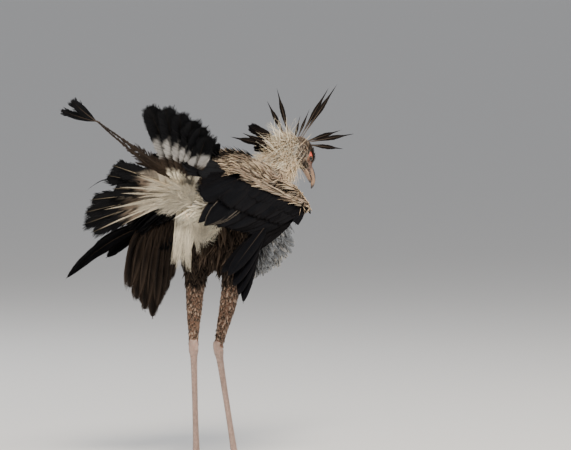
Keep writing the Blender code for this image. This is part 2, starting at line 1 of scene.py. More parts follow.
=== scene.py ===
import math
import bpy
import numpy as np
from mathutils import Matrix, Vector


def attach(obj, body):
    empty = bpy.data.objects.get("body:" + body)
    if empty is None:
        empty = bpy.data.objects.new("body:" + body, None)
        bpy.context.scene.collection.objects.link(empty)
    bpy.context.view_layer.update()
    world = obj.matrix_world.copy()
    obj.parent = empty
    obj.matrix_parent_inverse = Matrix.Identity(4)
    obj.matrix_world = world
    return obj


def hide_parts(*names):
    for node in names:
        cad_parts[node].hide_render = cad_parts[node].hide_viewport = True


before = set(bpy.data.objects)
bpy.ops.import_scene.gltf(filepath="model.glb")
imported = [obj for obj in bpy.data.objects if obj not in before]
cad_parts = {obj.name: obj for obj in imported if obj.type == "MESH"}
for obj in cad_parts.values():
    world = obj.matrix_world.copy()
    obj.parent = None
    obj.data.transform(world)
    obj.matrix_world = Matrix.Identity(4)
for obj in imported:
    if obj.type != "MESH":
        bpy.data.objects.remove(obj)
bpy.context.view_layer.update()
print("frame loaded")

# the bird stands in its own measures and is moved at the end, so that it sits over the middle of its box
poseShift = np.array([0.0274, -0.0069, 0.0])
left, right = 1, -1
sideWord = {left: "left", right: "right"}


# small tools

def vec(*xyz):
    return np.array(xyz, float)


def unit(v):
    v = np.asarray(v, float)
    return v / np.maximum(np.linalg.norm(v, axis=-1, keepdims=True), 1e-9)


def dot(a, b):
    return (a * b).sum(-1, keepdims=True)


def across(direction, hint):
    return unit(hint - direction * dot(np.broadcast_to(hint, np.shape(direction)), direction))


def mix(a, b, t):
    return a + (b - a) * t


def ease(value, start, end):
    t = np.clip((value - start) / (end - start), 0, 1)
    return t * t * (3 - 2 * t)


def mirrored(point, side):
    return np.array(point, float) * (1, side, 1)


def deselectAll():
    if bpy.context.object and bpy.context.object.mode != "OBJECT":
        bpy.ops.object.mode_set(mode="OBJECT")
    bpy.ops.object.select_all(action="DESELECT")


def pick(*objects):
    deselectAll()
    for obj in objects:
        obj.select_set(True)
    bpy.context.view_layer.objects.active = objects[0]


def getPoints(mesh):
    flat = np.empty(len(mesh.vertices) * 3, np.float32)
    mesh.vertices.foreach_get("co", flat)
    return flat.reshape(-1, 3).astype(float)


def setPoints(mesh, points):
    mesh.vertices.foreach_set("co", np.asarray(points, np.float32).ravel())
    mesh.update()


def applyModifier(obj, kind, **settings):
    pick(obj)
    modifier = obj.modifiers.new(kind.title(), kind)
    for key, value in settings.items():
        setattr(modifier, key, value)
    bpy.ops.object.modifier_apply(modifier=modifier.name)


# tubes: a disc extruded ring by ring, each ring then laid round its station (place, half width, half height)

def tube(name, stations, sides, hint=(0, 1, 0), shape=None):
    deselectAll()
    bpy.ops.mesh.primitive_circle_add(vertices=sides, radius=1, fill_type="NGON")
    obj = bpy.context.object
    obj.name = name
    bpy.ops.object.mode_set(mode="EDIT")
    bpy.ops.mesh.select_all(action="SELECT")
    for _ in stations[1:]:
        bpy.ops.mesh.extrude_region_move(TRANSFORM_OT_translate={"value": (0, 0, 1)})
    bpy.ops.object.mode_set(mode="OBJECT")
    points = getPoints(obj.data)
    ring = np.rint(points[:, 2]).astype(int)
    centres = np.array([s[0] for s in stations], float)
    sizes = np.array([s[1:3] for s in stations], float)
    ahead = np.empty_like(centres)
    ahead[1:-1] = centres[2:] - centres[:-2]
    ahead[0], ahead[-1] = centres[1] - centres[0], centres[-1] - centres[-2]
    ahead = unit(ahead)
    wide = across(ahead, np.array(hint, float))
    high = np.cross(ahead, wide)
    c, s = points[:, 0:1], points[:, 1:2]
    if shape:
        c, s = shape(c, s, ring)
    setPoints(obj.data, centres[ring] + wide[ring] * c * sizes[ring, 0:1] + high[ring] * s * sizes[ring, 1:2])
    bpy.ops.object.mode_set(mode="EDIT")
    bpy.ops.mesh.select_all(action="SELECT")
    bpy.ops.mesh.normals_make_consistent(inside=False)
    bpy.ops.object.mode_set(mode="OBJECT")
    return obj


# the bird's build: station = place, half width, half height

torsoPlan = {
    "rows": [
        ((-0.112, 0, 0.716), 0.014, 0.016), ((-0.098, 0, 0.712), 0.034, 0.038),
        ((-0.060, 0, 0.713), 0.058, 0.071),
        ((-0.010, 0, 0.718), 0.078, 0.114), ((0.040, 0, 0.716), 0.093, 0.143),
        ((0.100, 0, 0.705), 0.102, 0.152),
        ((0.160, 0, 0.698), 0.100, 0.146), ((0.215, 0, 0.702), 0.090, 0.126),
        ((0.260, 0, 0.715), 0.070, 0.095),
        ((0.292, 0, 0.730), 0.044, 0.060), ((0.306, 0, 0.738), 0.020, 0.028)],
    "coat": 0.011, "sides": 40,
}
neckPlan = {
    "rows": [
        ((0.190, 0, 0.722), 0.046, 0.046), ((0.262, 0, 0.762), 0.054, 0.056),
        ((0.305, 0, 0.785), 0.050, 0.054),
        ((0.345, -0.001, 0.806), 0.046, 0.051), ((0.372, -0.002, 0.822), 0.037, 0.040),
        ((0.392, -0.003, 0.832), 0.028, 0.030)],
    "coat": 0.010, "sides": 28,
}
napePlan = {
    "rows": [
        ((0.420, -0.008, 0.842), 0.020, 0.022), ((0.395, -0.005, 0.850), 0.029, 0.032),
        ((0.368, -0.003, 0.850), 0.034, 0.034), ((0.340, -0.001, 0.838), 0.032, 0.032),
        ((0.310, 0, 0.812), 0.020, 0.020)],
    "coat": 0.006, "sides": 24,
}
legPlan = {
    left: {
        "thigh": [
            ((0.040, 0.050, 0.690), 0.038, 0.050), ((0.036, 0.060, 0.600), 0.047, 0.060),
            ((0.028, 0.060, 0.560), 0.046, 0.055), ((0.018, 0.059, 0.525), 0.034, 0.038),
            ((0.012, 0.058, 0.490), 0.0285, 0.031), ((0.006, 0.057, 0.430), 0.0245, 0.026),
            ((0.002, 0.056, 0.375), 0.0190, 0.0200), ((0.000, 0.055, 0.338), 0.0160, 0.0165)],
        "ankle": vec(0.0, 0.055, 0.322), "foot": vec(0.066, 0.0934, 0.016), "turn": math.radians(14),
    },
    right: {
        "thigh": [
            ((0.052, -0.050, 0.690), 0.038, 0.050), ((0.050, -0.060, 0.600), 0.047, 0.060),
            ((0.044, -0.058, 0.560), 0.046, 0.055), ((0.036, -0.053, 0.525), 0.034, 0.038),
            ((0.031, -0.049, 0.490), 0.0285, 0.031), ((0.019, -0.043, 0.430), 0.0245, 0.026),
            ((0.004, -0.037, 0.375), 0.0190, 0.0200), ((-0.005, -0.034, 0.338), 0.0160, 0.0165)],
        "ankle": vec(-0.008, -0.033, 0.322), "foot": vec(0.066, -0.037, 0.016), "turn": math.radians(-12),
    },
    "coat": 0.0055, "sides": 24,
}
toePlan = [("outer", -30, 0.056, 0.0080), ("middle", 0, 0.074, 0.0086), ("inner", 30, 0.056, 0.0082),
           ("hind", 178, 0.030, 0.0075)]
clawLength = 0.022

headPlan = {
    "centre": vec(0.4276, -0.010, 0.8225), "turn": math.radians(-12), "bow": math.radians(58),
    "skull": [
        (-0.050, -0.002, 0.014, 0.015), (-0.042, -0.001, 0.026, 0.026), (-0.024, 0.000, 0.0305, 0.0315),
        (-0.004, 0.000, 0.0275, 0.0300), (0.014, -0.002, 0.0220, 0.0250), (0.028, -0.004, 0.0165, 0.0190),
        (0.037, -0.004, 0.0130, 0.0155)],
    "coat": 0.0022, "eyeRadius": 0.0095, "eyeOut": 0.0185,
}
wingPlan = {"shoulder": vec(0.195, 0.088, 0.775), "elbow": vec(-0.016, 0.112, 0.785),
            "wrist": vec(0.166, 0.200, 0.705),
            "hand": {left: vec(-0.030, 0.190, 0.645), right: vec(0.012, 0.160, 0.660)}, "coat": 0.005}
tailPlan = {"root": vec(-0.112, 0.0, 0.748), "axis": unit([-0.92, 0.06, 0.37]), "roll": math.radians(45)}


def headFrame():
    turn, bow = headPlan["turn"], headPlan["bow"]
    level = vec(math.cos(turn), math.sin(turn), 0)
    ahead = level * math.cos(bow) - vec(0, 0, math.sin(bow))
    side = vec(-math.sin(turn), math.cos(turn), 0)
    return ahead, side, np.cross(ahead, side)


headAhead, headLeft, headUp = headFrame()


def onHead(along, sideways, up):
    return headPlan["centre"] + headAhead * along + headLeft * sideways + headUp * up


def headRows(rows):
    return [(onHead(along, 0, up), wide, high) for along, up, wide, high in rows]


def slimmer(rows, coat):
    return [(place, max(wide - coat, wide * 0.4), max(high - coat, high * 0.4)) for place, wide, high in rows]


def finerRows(rows, steps):
    # a smooth line through the rows, so that a tube has no kinks
    flat = np.array([list(place) + list(rest) for place, *rest in rows], float)
    ends = np.vstack([2 * flat[0] - flat[1], flat, 2 * flat[-1] - flat[-2]])
    result = []
    for i in range(1, len(ends) - 2):
        a, b, c, d = ends[i - 1:i + 3]
        for t in np.arange(steps) / steps:
            result.append(0.5 * (2 * b + (c - a) * t + (2 * a - 5 * b + 4 * c - d) * t * t
                                 + (3 * b - a - 3 * c + d) * t ** 3))
    result.append(flat[-1])
    return [(row[:3], row[3], row[4]) for row in result]


def shankRows(side):
    leg = legPlan[side]
    ankle, foot = leg["ankle"], leg["foot"]
    shank = unit(foot - ankle)
    return [
        (ankle - shank * 0.022, 0.0105, 0.0115), (ankle - shank * 0.008, 0.0130, 0.0143),
        (ankle + shank * 0.010, 0.0123, 0.0136), (ankle + shank * 0.034, 0.0086, 0.0102),
        (mix(ankle, foot, 0.35), 0.0072, 0.0090), (mix(ankle, foot, 0.65), 0.0070, 0.0086),
        (mix(ankle, foot, 0.88), 0.0082, 0.0096), (foot - shank * 0.004, 0.0103, 0.0113)]


def toeRows(side, turn, length, wide):
    leg = legPlan[side]
    heading = leg["turn"] + math.radians(turn) * -side
    direction = vec(math.cos(heading), math.sin(heading), 0)
    start = vec(leg["foot"][0], leg["foot"][1], 0.0095)
    end = start + direction * length
    end[2] = 0.0066
    rows = [(start, wide, wide * 0.95), (mix(start, end, 0.35), wide * 0.86, wide * 0.84),
            (mix(start, end, 0.55), wide * 0.96, wide * 0.90),
            (mix(start, end, 0.75), wide * 0.80, wide * 0.78),
            (mix(start, end, 0.92), wide * 0.84, wide * 0.76), (end, wide * 0.50, wide * 0.45)]
    return rows, direction, end


def outward(side):
    return mirrored(unit([-0.16, 0.83, 0.54]), side)


def wingBones(side):
    shoulder, elbow, wrist = (mirrored(wingPlan[k], side) for k in ("shoulder", "elbow", "wrist"))
    tip = mirrored(wingPlan["hand"][side], side)
    return shoulder, elbow, wrist, wrist - outward(side) * 0.010 - vec(0, 0, 0.006), tip


def armRows(side):
    shoulder, elbow, wrist, start, tip = wingBones(side)
    fore = unit(wrist - elbow)
    upper = [(shoulder + (shoulder - elbow) * 0.10, 0.012, 0.012), (shoulder, 0.031, 0.024),
             (mix(shoulder, elbow, 0.4), 0.035, 0.024), (mix(shoulder, elbow, 0.8), 0.029, 0.023),
             (elbow, 0.0205, 0.0205), (mix(shoulder, elbow, 1.05), 0.012, 0.012)]
    lower = [(elbow - fore * 0.006, 0.012, 0.012), (elbow + fore * 0.006, 0.0185, 0.0185),
             (mix(elbow, wrist, 0.35), 0.018, 0.018), (mix(elbow, wrist, 0.7), 0.0155, 0.0155),
             (wrist - fore * 0.008, 0.015, 0.015), (wrist + fore * 0.010, 0.010, 0.010)]
    hand = [(mix(start, tip, -0.02), 0.010, 0.010), (mix(start, tip, 0.08), 0.0140, 0.0140),
            (mix(start, tip, 0.5), 0.0130, 0.0130), (mix(start, tip, 0.9), 0.0110, 0.0110),
            (mix(start, tip, 1.02), 0.006, 0.006)]
    return upper, lower, hand


def tailFrame():
    axis = tailPlan["axis"]
    side = across(axis, vec(0, 1, 0))
    up = np.cross(axis, side)
    up = up if up[2] > 0 else -up
    roll = tailPlan["roll"]
    return side * math.cos(roll) - up * math.sin(roll), up * math.cos(roll) + side * math.sin(roll)


tailEdge, tailBack = tailFrame()
tailRows = [
    (tailPlan["root"] - tailPlan["axis"] * 0.050, 0.030, 0.024),
    (tailPlan["root"] - tailPlan["axis"] * 0.012, 0.036, 0.024),
    (tailPlan["root"] + tailPlan["axis"] * 0.010, 0.038, 0.024),
    (tailPlan["root"] + tailPlan["axis"] * 0.030, 0.027, 0.017),
    (tailPlan["root"] + tailPlan["axis"] * 0.040, 0.014, 0.009)]


# one skin: every limb is a tube, all fused by a fine remesh and smoothed

limbs = []   # name, rows of the flesh, hint for the rings' width


def addLimb(name, rows, coat, hint=(0, 1, 0)):
    limbs.append((name, slimmer(rows, coat), hint))


addLimb("torso", torsoPlan["rows"], torsoPlan["coat"])
addLimb("neck", neckPlan["rows"], neckPlan["coat"])
addLimb("nape", napePlan["rows"], napePlan["coat"])
addLimb("head", headRows(headPlan["skull"]), headPlan["coat"], headLeft)
addLimb("tail", tailRows, 0.004, tailEdge)
for side in (left, right):
    addLimb("thigh_" + sideWord[side], legPlan[side]["thigh"], legPlan["coat"])
    addLimb("shank_" + sideWord[side], shankRows(side), 0.0)
    for toe in toePlan:
        addLimb("toe_%s_%s" % (sideWord[side], toe[0]), toeRows(side, *toe[1:])[0], -0.0004, (0, 1, 0))
    shoulder, elbow, wrist, start, tip = wingBones(side)
    addLimb("web_" + sideWord[side], [(shoulder + vec(0.004, 0, 0), 0.016, 0.016),
                                      (mix(shoulder, wrist, 0.25), 0.015, 0.015),
                                      (mix(shoulder, wrist, 0.5) + vec(0.008, 0, 0.006), 0.014, 0.014),
                                      (mix(shoulder, wrist, 0.75) + vec(0.006, 0, 0.004), 0.014, 0.014),
                                      (wrist, 0.013, 0.013)], wingPlan["coat"], (0, 0, 1))
    for word, rows in zip(("upper", "fore", "hand"), armRows(side)):
        addLimb("%s_%s" % (word, sideWord[side]), rows, wingPlan["coat"], (0, 0, 1))

parts = []
for name, rows, hint in limbs:
    if name.startswith("toe"):
        ahead = unit(np.array(rows[-1][0]) - rows[0][0])
        hint = np.cross(vec(0, 0, 1), ahead)
    parts.append(tube(name, finerRows(rows, 4), 24 if name not in ("torso", "neck") else 40, hint))
for side in (left, right):
    foot = legPlan[side]["foot"]
    deselectAll()
    bpy.ops.mesh.primitive_uv_sphere_add(segments=24, ring_count=14, radius=0.0138,
                                         location=(foot[0], foot[1], 0.0125))
    parts.append(bpy.context.object)
    bpy.ops.object.transform_apply(location=True, rotation=True, scale=True)
pick(*parts)
bpy.ops.object.join()
skin = bpy.context.object
skin.name = "skin"
applyModifier(skin, "REMESH", mode="VOXEL", voxel_size=0.0031, adaptivity=0.0)
applyModifier(skin, "SMOOTH", factor=0.5, iterations=5)


# the face gets a finer mesh than the body, then its sockets, lids, brow and mouth corner are shaped

facePlan = {"reach": 0.034, "centre": onHead(0.010, 0, -0.002), "opening": (0.0074, 0.0060), "lid": 0.0014,
            "brow": 0.0020, "mouth": 0.0012}
eyeCentres = {side: onHead(0.002, side * headPlan["eyeOut"], 0.002) for side in (left, right)}
eyeGaze = {side: unit(headLeft * side + headAhead * 0.25) for side in (left, right)}

pick(skin)
bpy.ops.object.mode_set(mode="EDIT")
bpy.ops.mesh.select_mode(type="FACE")
bpy.ops.mesh.select_all(action="DESELECT")
bpy.ops.object.mode_set(mode="OBJECT")
centres = np.empty(len(skin.data.polygons) * 3, np.float32)
skin.data.polygons.foreach_get("center", centres)
nearFace = np.linalg.norm(centres.reshape(-1, 3) - facePlan["centre"], axis=1) < facePlan["reach"]
skin.data.polygons.foreach_set("select", nearFace)
bpy.ops.object.mode_set(mode="EDIT")
bpy.ops.mesh.subdivide(number_cuts=2, smoothness=0.4)
bpy.ops.object.mode_set(mode="OBJECT")
points = getPoints(skin.data)
normals = np.empty(len(points) * 3, np.float32)
skin.data.vertices.foreach_get("normal", normals)
normals = normals.reshape(-1, 3)
for side in (left, right):
    fromEye = points - eyeCentres[side]
    distance = np.maximum(np.linalg.norm(fromEye, axis=1, keepdims=True), 1e-6)
    ahead = across(eyeGaze[side], headAhead)
    over = across(eyeGaze[side], headUp)
    h, k, g = fromEye @ ahead, fromEye @ over, fromEye @ eyeGaze[side]
    measure = np.hypot(h / facePlan["opening"][0], k / facePlan["opening"][1])
    facing = (g > -0.003) & (distance[:, 0] < 0.030)
    lidDistance = headPlan["eyeRadius"] + facePlan["lid"]
    lifted = mix(lidDistance, distance, ease(measure, 1.2, 2.3)[:, None])
    sunk = mix(headPlan["eyeRadius"] * 0.72, lifted, ease(measure, 0.74, 0.92)[:, None])
    points = np.where(facing[:, None], eyeCentres[side] + fromEye / distance * sunk, points)
    brow = np.exp(-((h + 0.001) / 0.012) ** 2 - ((k - 0.0100) / 0.0030) ** 2) * (g > 0)
    crease = np.exp(-(h / 0.011) ** 2 - ((k - 0.0068) / 0.0012) ** 2) * (g > 0)
    points = points + normals * (brow * facePlan["brow"] - crease * 0.0008)[:, None] * facing[:, None]
face = points - headPlan["centre"]
along, up = face @ headAhead, face @ headUp
mouth = np.exp(-((up + 0.0125 + (along - 0.03) * 0.12) / 0.0011) ** 2)
mouth = mouth * ease(along, 0.010, 0.018) * (along < 0.05)
points = points - normals * (mouth * facePlan["mouth"])[:, None]
setPoints(skin.data, points)
print("skin", len(skin.data.vertices), "points")


# where every skin point belongs: limb, share along it, and the angle round it

def limbMap(points):
    best, label = np.full(len(points), 9.0), np.zeros(len(points), int)
    along, angle = np.zeros(len(points)), np.zeros(len(points))
    for index, (name, rows, hint) in enumerate(limbs):
        centres = np.array([r[0] for r in rows], float)
        sizes = np.array([r[1:3] for r in rows], float)
        steps = np.linalg.norm(np.diff(centres, axis=0), axis=1)
        share = np.concatenate([[0], np.cumsum(steps)]) / steps.sum()
        for i in range(len(rows) - 1):
            run = centres[i + 1] - centres[i]
            t = np.clip(((points - centres[i]) @ run) / (run @ run), 0, 1)
            offset = points - centres[i] - t[:, None] * run
            wide = across(unit(run), np.array(hint, float))
            high = np.cross(unit(run), wide)
            size = sizes[i] + (sizes[i + 1] - sizes[i]) * t[:, None]
            x, y = offset @ wide, offset @ high
            ovalness = np.maximum(np.hypot(x / size[:, 0], y / size[:, 1]), 1e-6)
            distance = np.maximum(np.linalg.norm(offset, axis=1), 1e-6)
            gap = distance - (x * x + y * y) / distance / ovalness
            closer = gap < best
            best[closer], label[closer] = gap[closer], index
            along[closer] = (share[i] + (share[i + 1] - share[i]) * t)[closer]
            angle[closer] = np.arctan2(y, x)[closer]
    return label, along, angle


limbNames = [limb[0] for limb in limbs]
skinPoints = getPoints(skin.data)
flat = np.empty(len(skinPoints) * 3, np.float32)
skin.data.vertices.foreach_get("normal", flat)
skinNormals = flat.reshape(-1, 3).astype(float)
skinLimb, skinAlong, skinAngle = limbMap(skinPoints)


def onLimb(*words):
    wanted = [i for i, name in enumerate(limbNames) if name.split("_")[0] in words]
    return np.isin(skinLimb, wanted)


def onSide(side):
    return skinPoints[:, 1] * side > 0


# coat zones, and the way the feathers lie in each

zoneNames = ["bare", "rump", "vent", "mantle", "belly", "breast", "hackle", "throat", "crown", "cheek",
             "trouser", "shin", "scapular", "lesser", "underarm", "palm", "cap"]
zone = np.zeros(len(skinPoints), int)
flow = np.zeros_like(skinPoints)


def setZone(mask, name, direction):
    zone[mask] = zoneNames.index(name)
    flow[mask] = direction[mask] if np.ndim(direction) == 2 else direction


x, y, z = skinPoints.T
nx, ny, nz = skinNormals.T
back = np.zeros_like(skinPoints) + vec(-1, 0, -0.05)
back[:, 1] = ny * 0.25
overBack = back * vec(1, 1, 0) + vec(0, 0, 0.30)
chest = back + np.stack([0 * x, 0 * x, -1.1 * ease(x, 0.16, 0.28) * ease(-nz, -0.6, 0.3)], 1)
torso = onLimb("torso")
setZone(torso, "breast", chest)
setZone(torso & (x > 0.262) & (nz < 0.55), "throat", vec(0.15, 0, -1))
setZone(torso & (nz > 0.30), "mantle", overBack)
setZone(torso & (x > 0.215) & (nx > 0.10) & (nz > -0.05), "throat",
        np.stack([0.1 + 0 * x, 0.5 * ny, -1 + 0 * x], 1))
setZone(torso & (nz < 0.30) & (z < 0.70 - ease(x, 0.02, 0.16) * 0.16) & (x < 0.13), "belly",
        back + vec(0, 0, -0.5))
setZone(torso & (x < -0.035) & (nz > -0.2), "rump", tailPlan["axis"] + skinNormals * 0.1)
setZone(torso & (x < -0.015) & (nz <= -0.1) & (z < 0.73), "vent", vec(-0.5, 0, -0.8))
tailLimb = onLimb("tail")
setZone(tailLimb, "rump", tailPlan["axis"])
setZone(tailLimb & ((skinNormals @ tailBack) < -0.2), "vent", tailPlan["axis"] + vec(-0.2, 0, -0.6))

neckAxis = unit(np.array(neckPlan["rows"][-1][0]) - neckPlan["rows"][0][0])
neckUp = across(neckAxis, vec(0, 0, 1))
neck = onLimb("neck", "nape")
setZone(neck, "hackle", -neckAxis + skinNormals * 0.3)
setZone(neck & ((skinNormals @ neckUp) < -0.25), "throat", -neckAxis + vec(0.1, 0, -0.9))

face = skinPoints - headPlan["centre"]
faceAlong, faceUp, faceSide = face @ headAhead, face @ headUp, np.abs(face @ headLeft)
eyeGap = np.linalg.norm(np.stack([faceAlong - 0.002, faceSide - 0.0185, faceUp - 0.002], 1), axis=1)
head = onLimb("head")
setZone(head, "crown", -headAhead + headUp * 0.15)
nearHead = (head | neck) & (np.linalg.norm(face, axis=1) < 0.058)
setZone(neck & nearHead & (skinNormals @ headUp > -0.1), "crown", -headAhead + headUp * 0.15)
setZone(nearHead & ((faceUp < 0.008) & (faceAlong < 0.004) | (faceUp < -0.008)), "cheek",
        -headAhead + vec(-0.2, 0, -0.5))
bareFace = head & ((faceAlong > 0.026) | (eyeGap < 0.0130)
                   | ((faceAlong > 0.004) & (np.abs(faceUp + 0.001) < 0.007)))
# the bare coral patch between the eye and the brow
coralGap = np.hypot((faceAlong + 0.0040) / 1.25, faceUp - 0.0095)
bareFace |= head & (faceSide > 0.009) & (coralGap < 0.0066)
setZone(bareFace, "bare", vec(0, 0, 0))

thigh = onLimb("thigh")
setZone(thigh & (z >= 0.505), "trouser", vec(-0.15, 0, -1))
setZone(thigh & (z < 0.505), "shin", vec(-0.08, 0, -1))
for side in (left, right):
    shoulder, elbow, wrist, start, tip = wingBones(side)
    here = onSide(side)
    setZone(onLimb("upper") & here, "scapular", vec(-0.95, -side * 0.15, 0.35))
    setZone(onLimb("upper") & here & (x > 0.176) & (nx > -0.10), "cap", vec(-0.45, side * 0.25, -1))
    setZone(onLimb("web") & here, "lesser", unit(elbow - wrist) + vec(-0.10, 0, 0.18))
    setZone(onLimb("web") & here & (nz < -0.2), "underarm", vec(-1, 0, -0.2))
    setZone(onLimb("fore") & here, "lesser", unit(elbow - wrist) + vec(-0.35, 0, 0.0))
    setZone(onLimb("fore") & here & (nz < 0.20) & (nx < 0.60), "palm", unit(elbow - wrist)
            + vec(-0.5, 0, -0.8))
    setZone(onLimb("fore") & here & ((skinNormals @ (outward(side) * 0.5 + vec(0.5, 0, 0.6))) < -0.15),
            "underarm",
            unit(elbow - wrist) + vec(-0.3, 0, -0.3))
    setZone(onLimb("upper") & here & (nz < -0.35), "underarm", vec(-1, 0, -0.3))
    elbowEnd = onLimb("fore") & (skinAlong < 0.14) | onLimb("upper") & (skinAlong > 0.90)
    setZone(elbowEnd & here, "palm", vec(-1, 0, -0.1))
    setZone(onLimb("hand") & here, "palm", unit(tip - start) + vec(0, 0, -0.2))
flow = unit(flow)
blunt = onLimb("upper", "fore", "web") & (np.abs((flow * skinNormals).sum(1)) > 0.72)
flow[blunt] = unit(flow[blunt] * 0.35 + vec(-0.3, 0, -1))
flow[blunt, 1] += np.sign(skinPoints[blunt, 1]) * 0.2
edges = np.empty(len(skin.data.edges) * 2, np.int32)
skin.data.edges.foreach_get("vertices", edges)
edges = edges.reshape(-1, 2)
neighbours = np.bincount(edges.ravel(), minlength=len(skinPoints))[:, None] + 1.0
bare = zone == 0
for _ in range(32):   # the lie of the coat turns smoothly from zone to zone
    total = flow.copy()
    for k in range(3):
        total[:, k] += np.bincount(edges[:, 0], flow[edges[:, 1], k], len(skinPoints))
        total[:, k] += np.bincount(edges[:, 1], flow[edges[:, 0], k], len(skinPoints))
    flow = np.where(bare[:, None], 0, total / neighbours)
    flow -= skinNormals * (flow * skinNormals).sum(1, keepdims=True) * 0.5
skin.data.calc_loop_triangles()
print("coat zones", {name: int((zone == i).sum()) for i, name in enumerate(zoneNames)}, "skin",
      len(skin.data.loop_triangles), "triangles")


# every root has its own place on a flat chart of the skin: one rectangle for each limb, in metres

def limbCharts():
    charts, cursor, rowTop, rowHeight = {}, 0.0, 0.0, 0.0
    sized = []
    for index, (name, rows, hint) in enumerate(limbs):
        centres = np.array([r[0] for r in rows], float)
        length = np.linalg.norm(np.diff(centres, axis=0), axis=1).sum()
        girth = 2 * math.pi * max((r[1] + r[2]) / 2 for r in rows)
        sized.append((length, girth, index))
    for length, girth, index in sorted(sized, reverse=True):
        if cursor + girth > 1.45:
            cursor, rowTop, rowHeight = 0.0, rowTop + rowHeight + 0.01, 0.0
        charts[index] = (cursor, rowTop, girth, length)
        cursor, rowHeight = cursor + girth + 0.01, max(rowHeight, length)
    scale = 0.98 / max(1.45, rowTop + rowHeight)
    return {index: np.array(chart) * scale for index, chart in charts.items()}


charts = limbCharts()
chartTable = np.array([charts[i] for i in range(len(limbs))])


def chartPlace(limb, along, angle):
    chart = chartTable[limb]
    return np.stack([chart[:, 0] + (angle / (2 * math.pi) + 0.5) * chart[:, 2],
                     chart[:, 1] + along * chart[:, 3]], 1)


# roots: random points on the skin, thinned until no two of a zone stand closer than its spacing

rng = np.random.default_rng(7)
corners = np.empty(len(skin.data.loop_triangles) * 3, np.int32)
skin.data.loop_triangles.foreach_get("vertices", corners)
corners = corners.reshape(-1, 3)


def sow(name, spacing, extra=None):
    wanted = zone[corners[:, 0]] == zoneNames.index(name)
    if extra is not None:
        wanted &= extra[corners[:, 0]]
    chosen = corners[wanted]
    a, b, c = (skinPoints[chosen[:, k]] for k in range(3))
    areas = np.linalg.norm(np.cross(b - a, c - a), axis=1) / 2
    count = int(areas.sum() / spacing ** 2 * 5)
    pickFrom = rng.choice(len(chosen), count, p=areas / areas.sum())
    u, v = rng.random(count), rng.random(count)
    over = u + v > 1
    u[over], v[over] = 1 - u[over], 1 - v[over]
    spots = a[pickFrom] + (b - a)[pickFrom] * u[:, None] + (c - a)[pickFrom] * v[:, None]
    kept, grid = [], {}
    cells = np.floor(spots / spacing).astype(int)
    for i, (cell, spot) in enumerate(zip(map(tuple, cells), spots)):
        near = [grid.get((cell[0] + i1, cell[1] + j1, cell[2] + k1)) for i1 in (-1, 0, 1)
                for j1 in (-1, 0, 1) for k1 in (-1, 0, 1)]
        if all(n is None or np.abs(n - spot).sum() > spacing * 1.25 for n in near):
            grid[cell] = spot
            kept.append(i)
    kept = np.array(kept)
    owner = chosen[pickFrom[kept], 0]
    normal = unit(skinNormals[chosen[pickFrom[kept]]].mean(1))
    return {"root": spots[kept], "normal": normal, "aim": across(normal, flow[owner]), "owner": owner,
            "chart": chartPlace(skinLimb[owner], skinAlong[owner], skinAngle[owner])}


# feathers are gathered in bags of corners and triangles, and each bag becomes one piece

def newBag():
    return {"points": [], "triangles": [], "tint": [], "map": [], "bake": [], "count": 0}


def fill(bag, points, triangles, tint, featherMap, bake):
    bag["triangles"].append(np.array(triangles) + bag["count"])
    for key, value, wide in (("points", points, 3), ("tint", tint, 3), ("map", featherMap, 2),
                             ("bake", bake, 2)):
        bag[key].append(value.reshape(-1, wide))
    bag["count"] += len(bag["points"][-1])


def stripTriangles(rows):
    # a three-sided strip, closed at both ends
    triangles = [(0, 1, 2)]
    for a in range(0, rows * 3 - 3, 3):
        for p, q in ((0, 1), (1, 2), (2, 0)):
            triangles += [(a + p, a + 3 + p, a + 3 + q), (a + p, a + 3 + q, a + q)]
    return triangles + [(rows * 3 - 3, rows * 3 - 1, rows * 3 - 2)]


def repeated(triangles, count, step):
    return (np.array(triangles)[None] + (np.arange(count) * step)[:, None, None]).reshape(-1, 3)


def pieceFrom(bag, name, material):
    points = np.concatenate(bag["points"])
    triangles = np.concatenate(bag["triangles"]).astype(np.int32)
    data = bpy.data.meshes.new(name)
    data.from_pydata(points.tolist(), [], triangles.tolist())
    data.polygons.foreach_set("use_smooth", np.ones(len(triangles), bool))
    tint = data.color_attributes.new("tint", "FLOAT_COLOR", "POINT")
    colours = np.ones((len(points), 4), np.float32)
    colours[:, :3] = np.clip(np.concatenate(bag["tint"]), 0, 1)
    tint.data.foreach_set("color", colours.ravel())
    for mapName, key in (("feather", "map"), ("OFBake", "bake")):
        layer = data.uv_layers.new(name=mapName)
        layer.data.foreach_set("uv", np.concatenate(bag[key]).astype(np.float32)[triangles.ravel()].ravel())
    data.materials.append(material)
    data.update()
    obj = bpy.data.objects.new(name, data)
    bpy.context.scene.collection.objects.link(obj)
    print(name, len(triangles), "triangles")
    return obj


# a small feather: a thin three-sided strip along a curve. plan = (share of the length, share of the width)

tuftPlans = {
    "petal": [(0.0, 0.45), (0.30, 0.95), (0.62, 1.0), (0.88, 0.84), (1.0, 0.40)],
    "round": [(0.0, 0.40), (0.30, 0.92), (0.62, 1.0), (0.86, 0.70), (1.0, 0.16)],
    "lance": [(0.0, 0.55), (0.25, 1.0), (0.55, 0.80), (0.82, 0.42), (1.0, 0.05)],
    "hair": [(0.0, 0.9), (0.30, 1.0), (0.60, 0.75), (0.85, 0.45), (1.0, 0.08)],
}


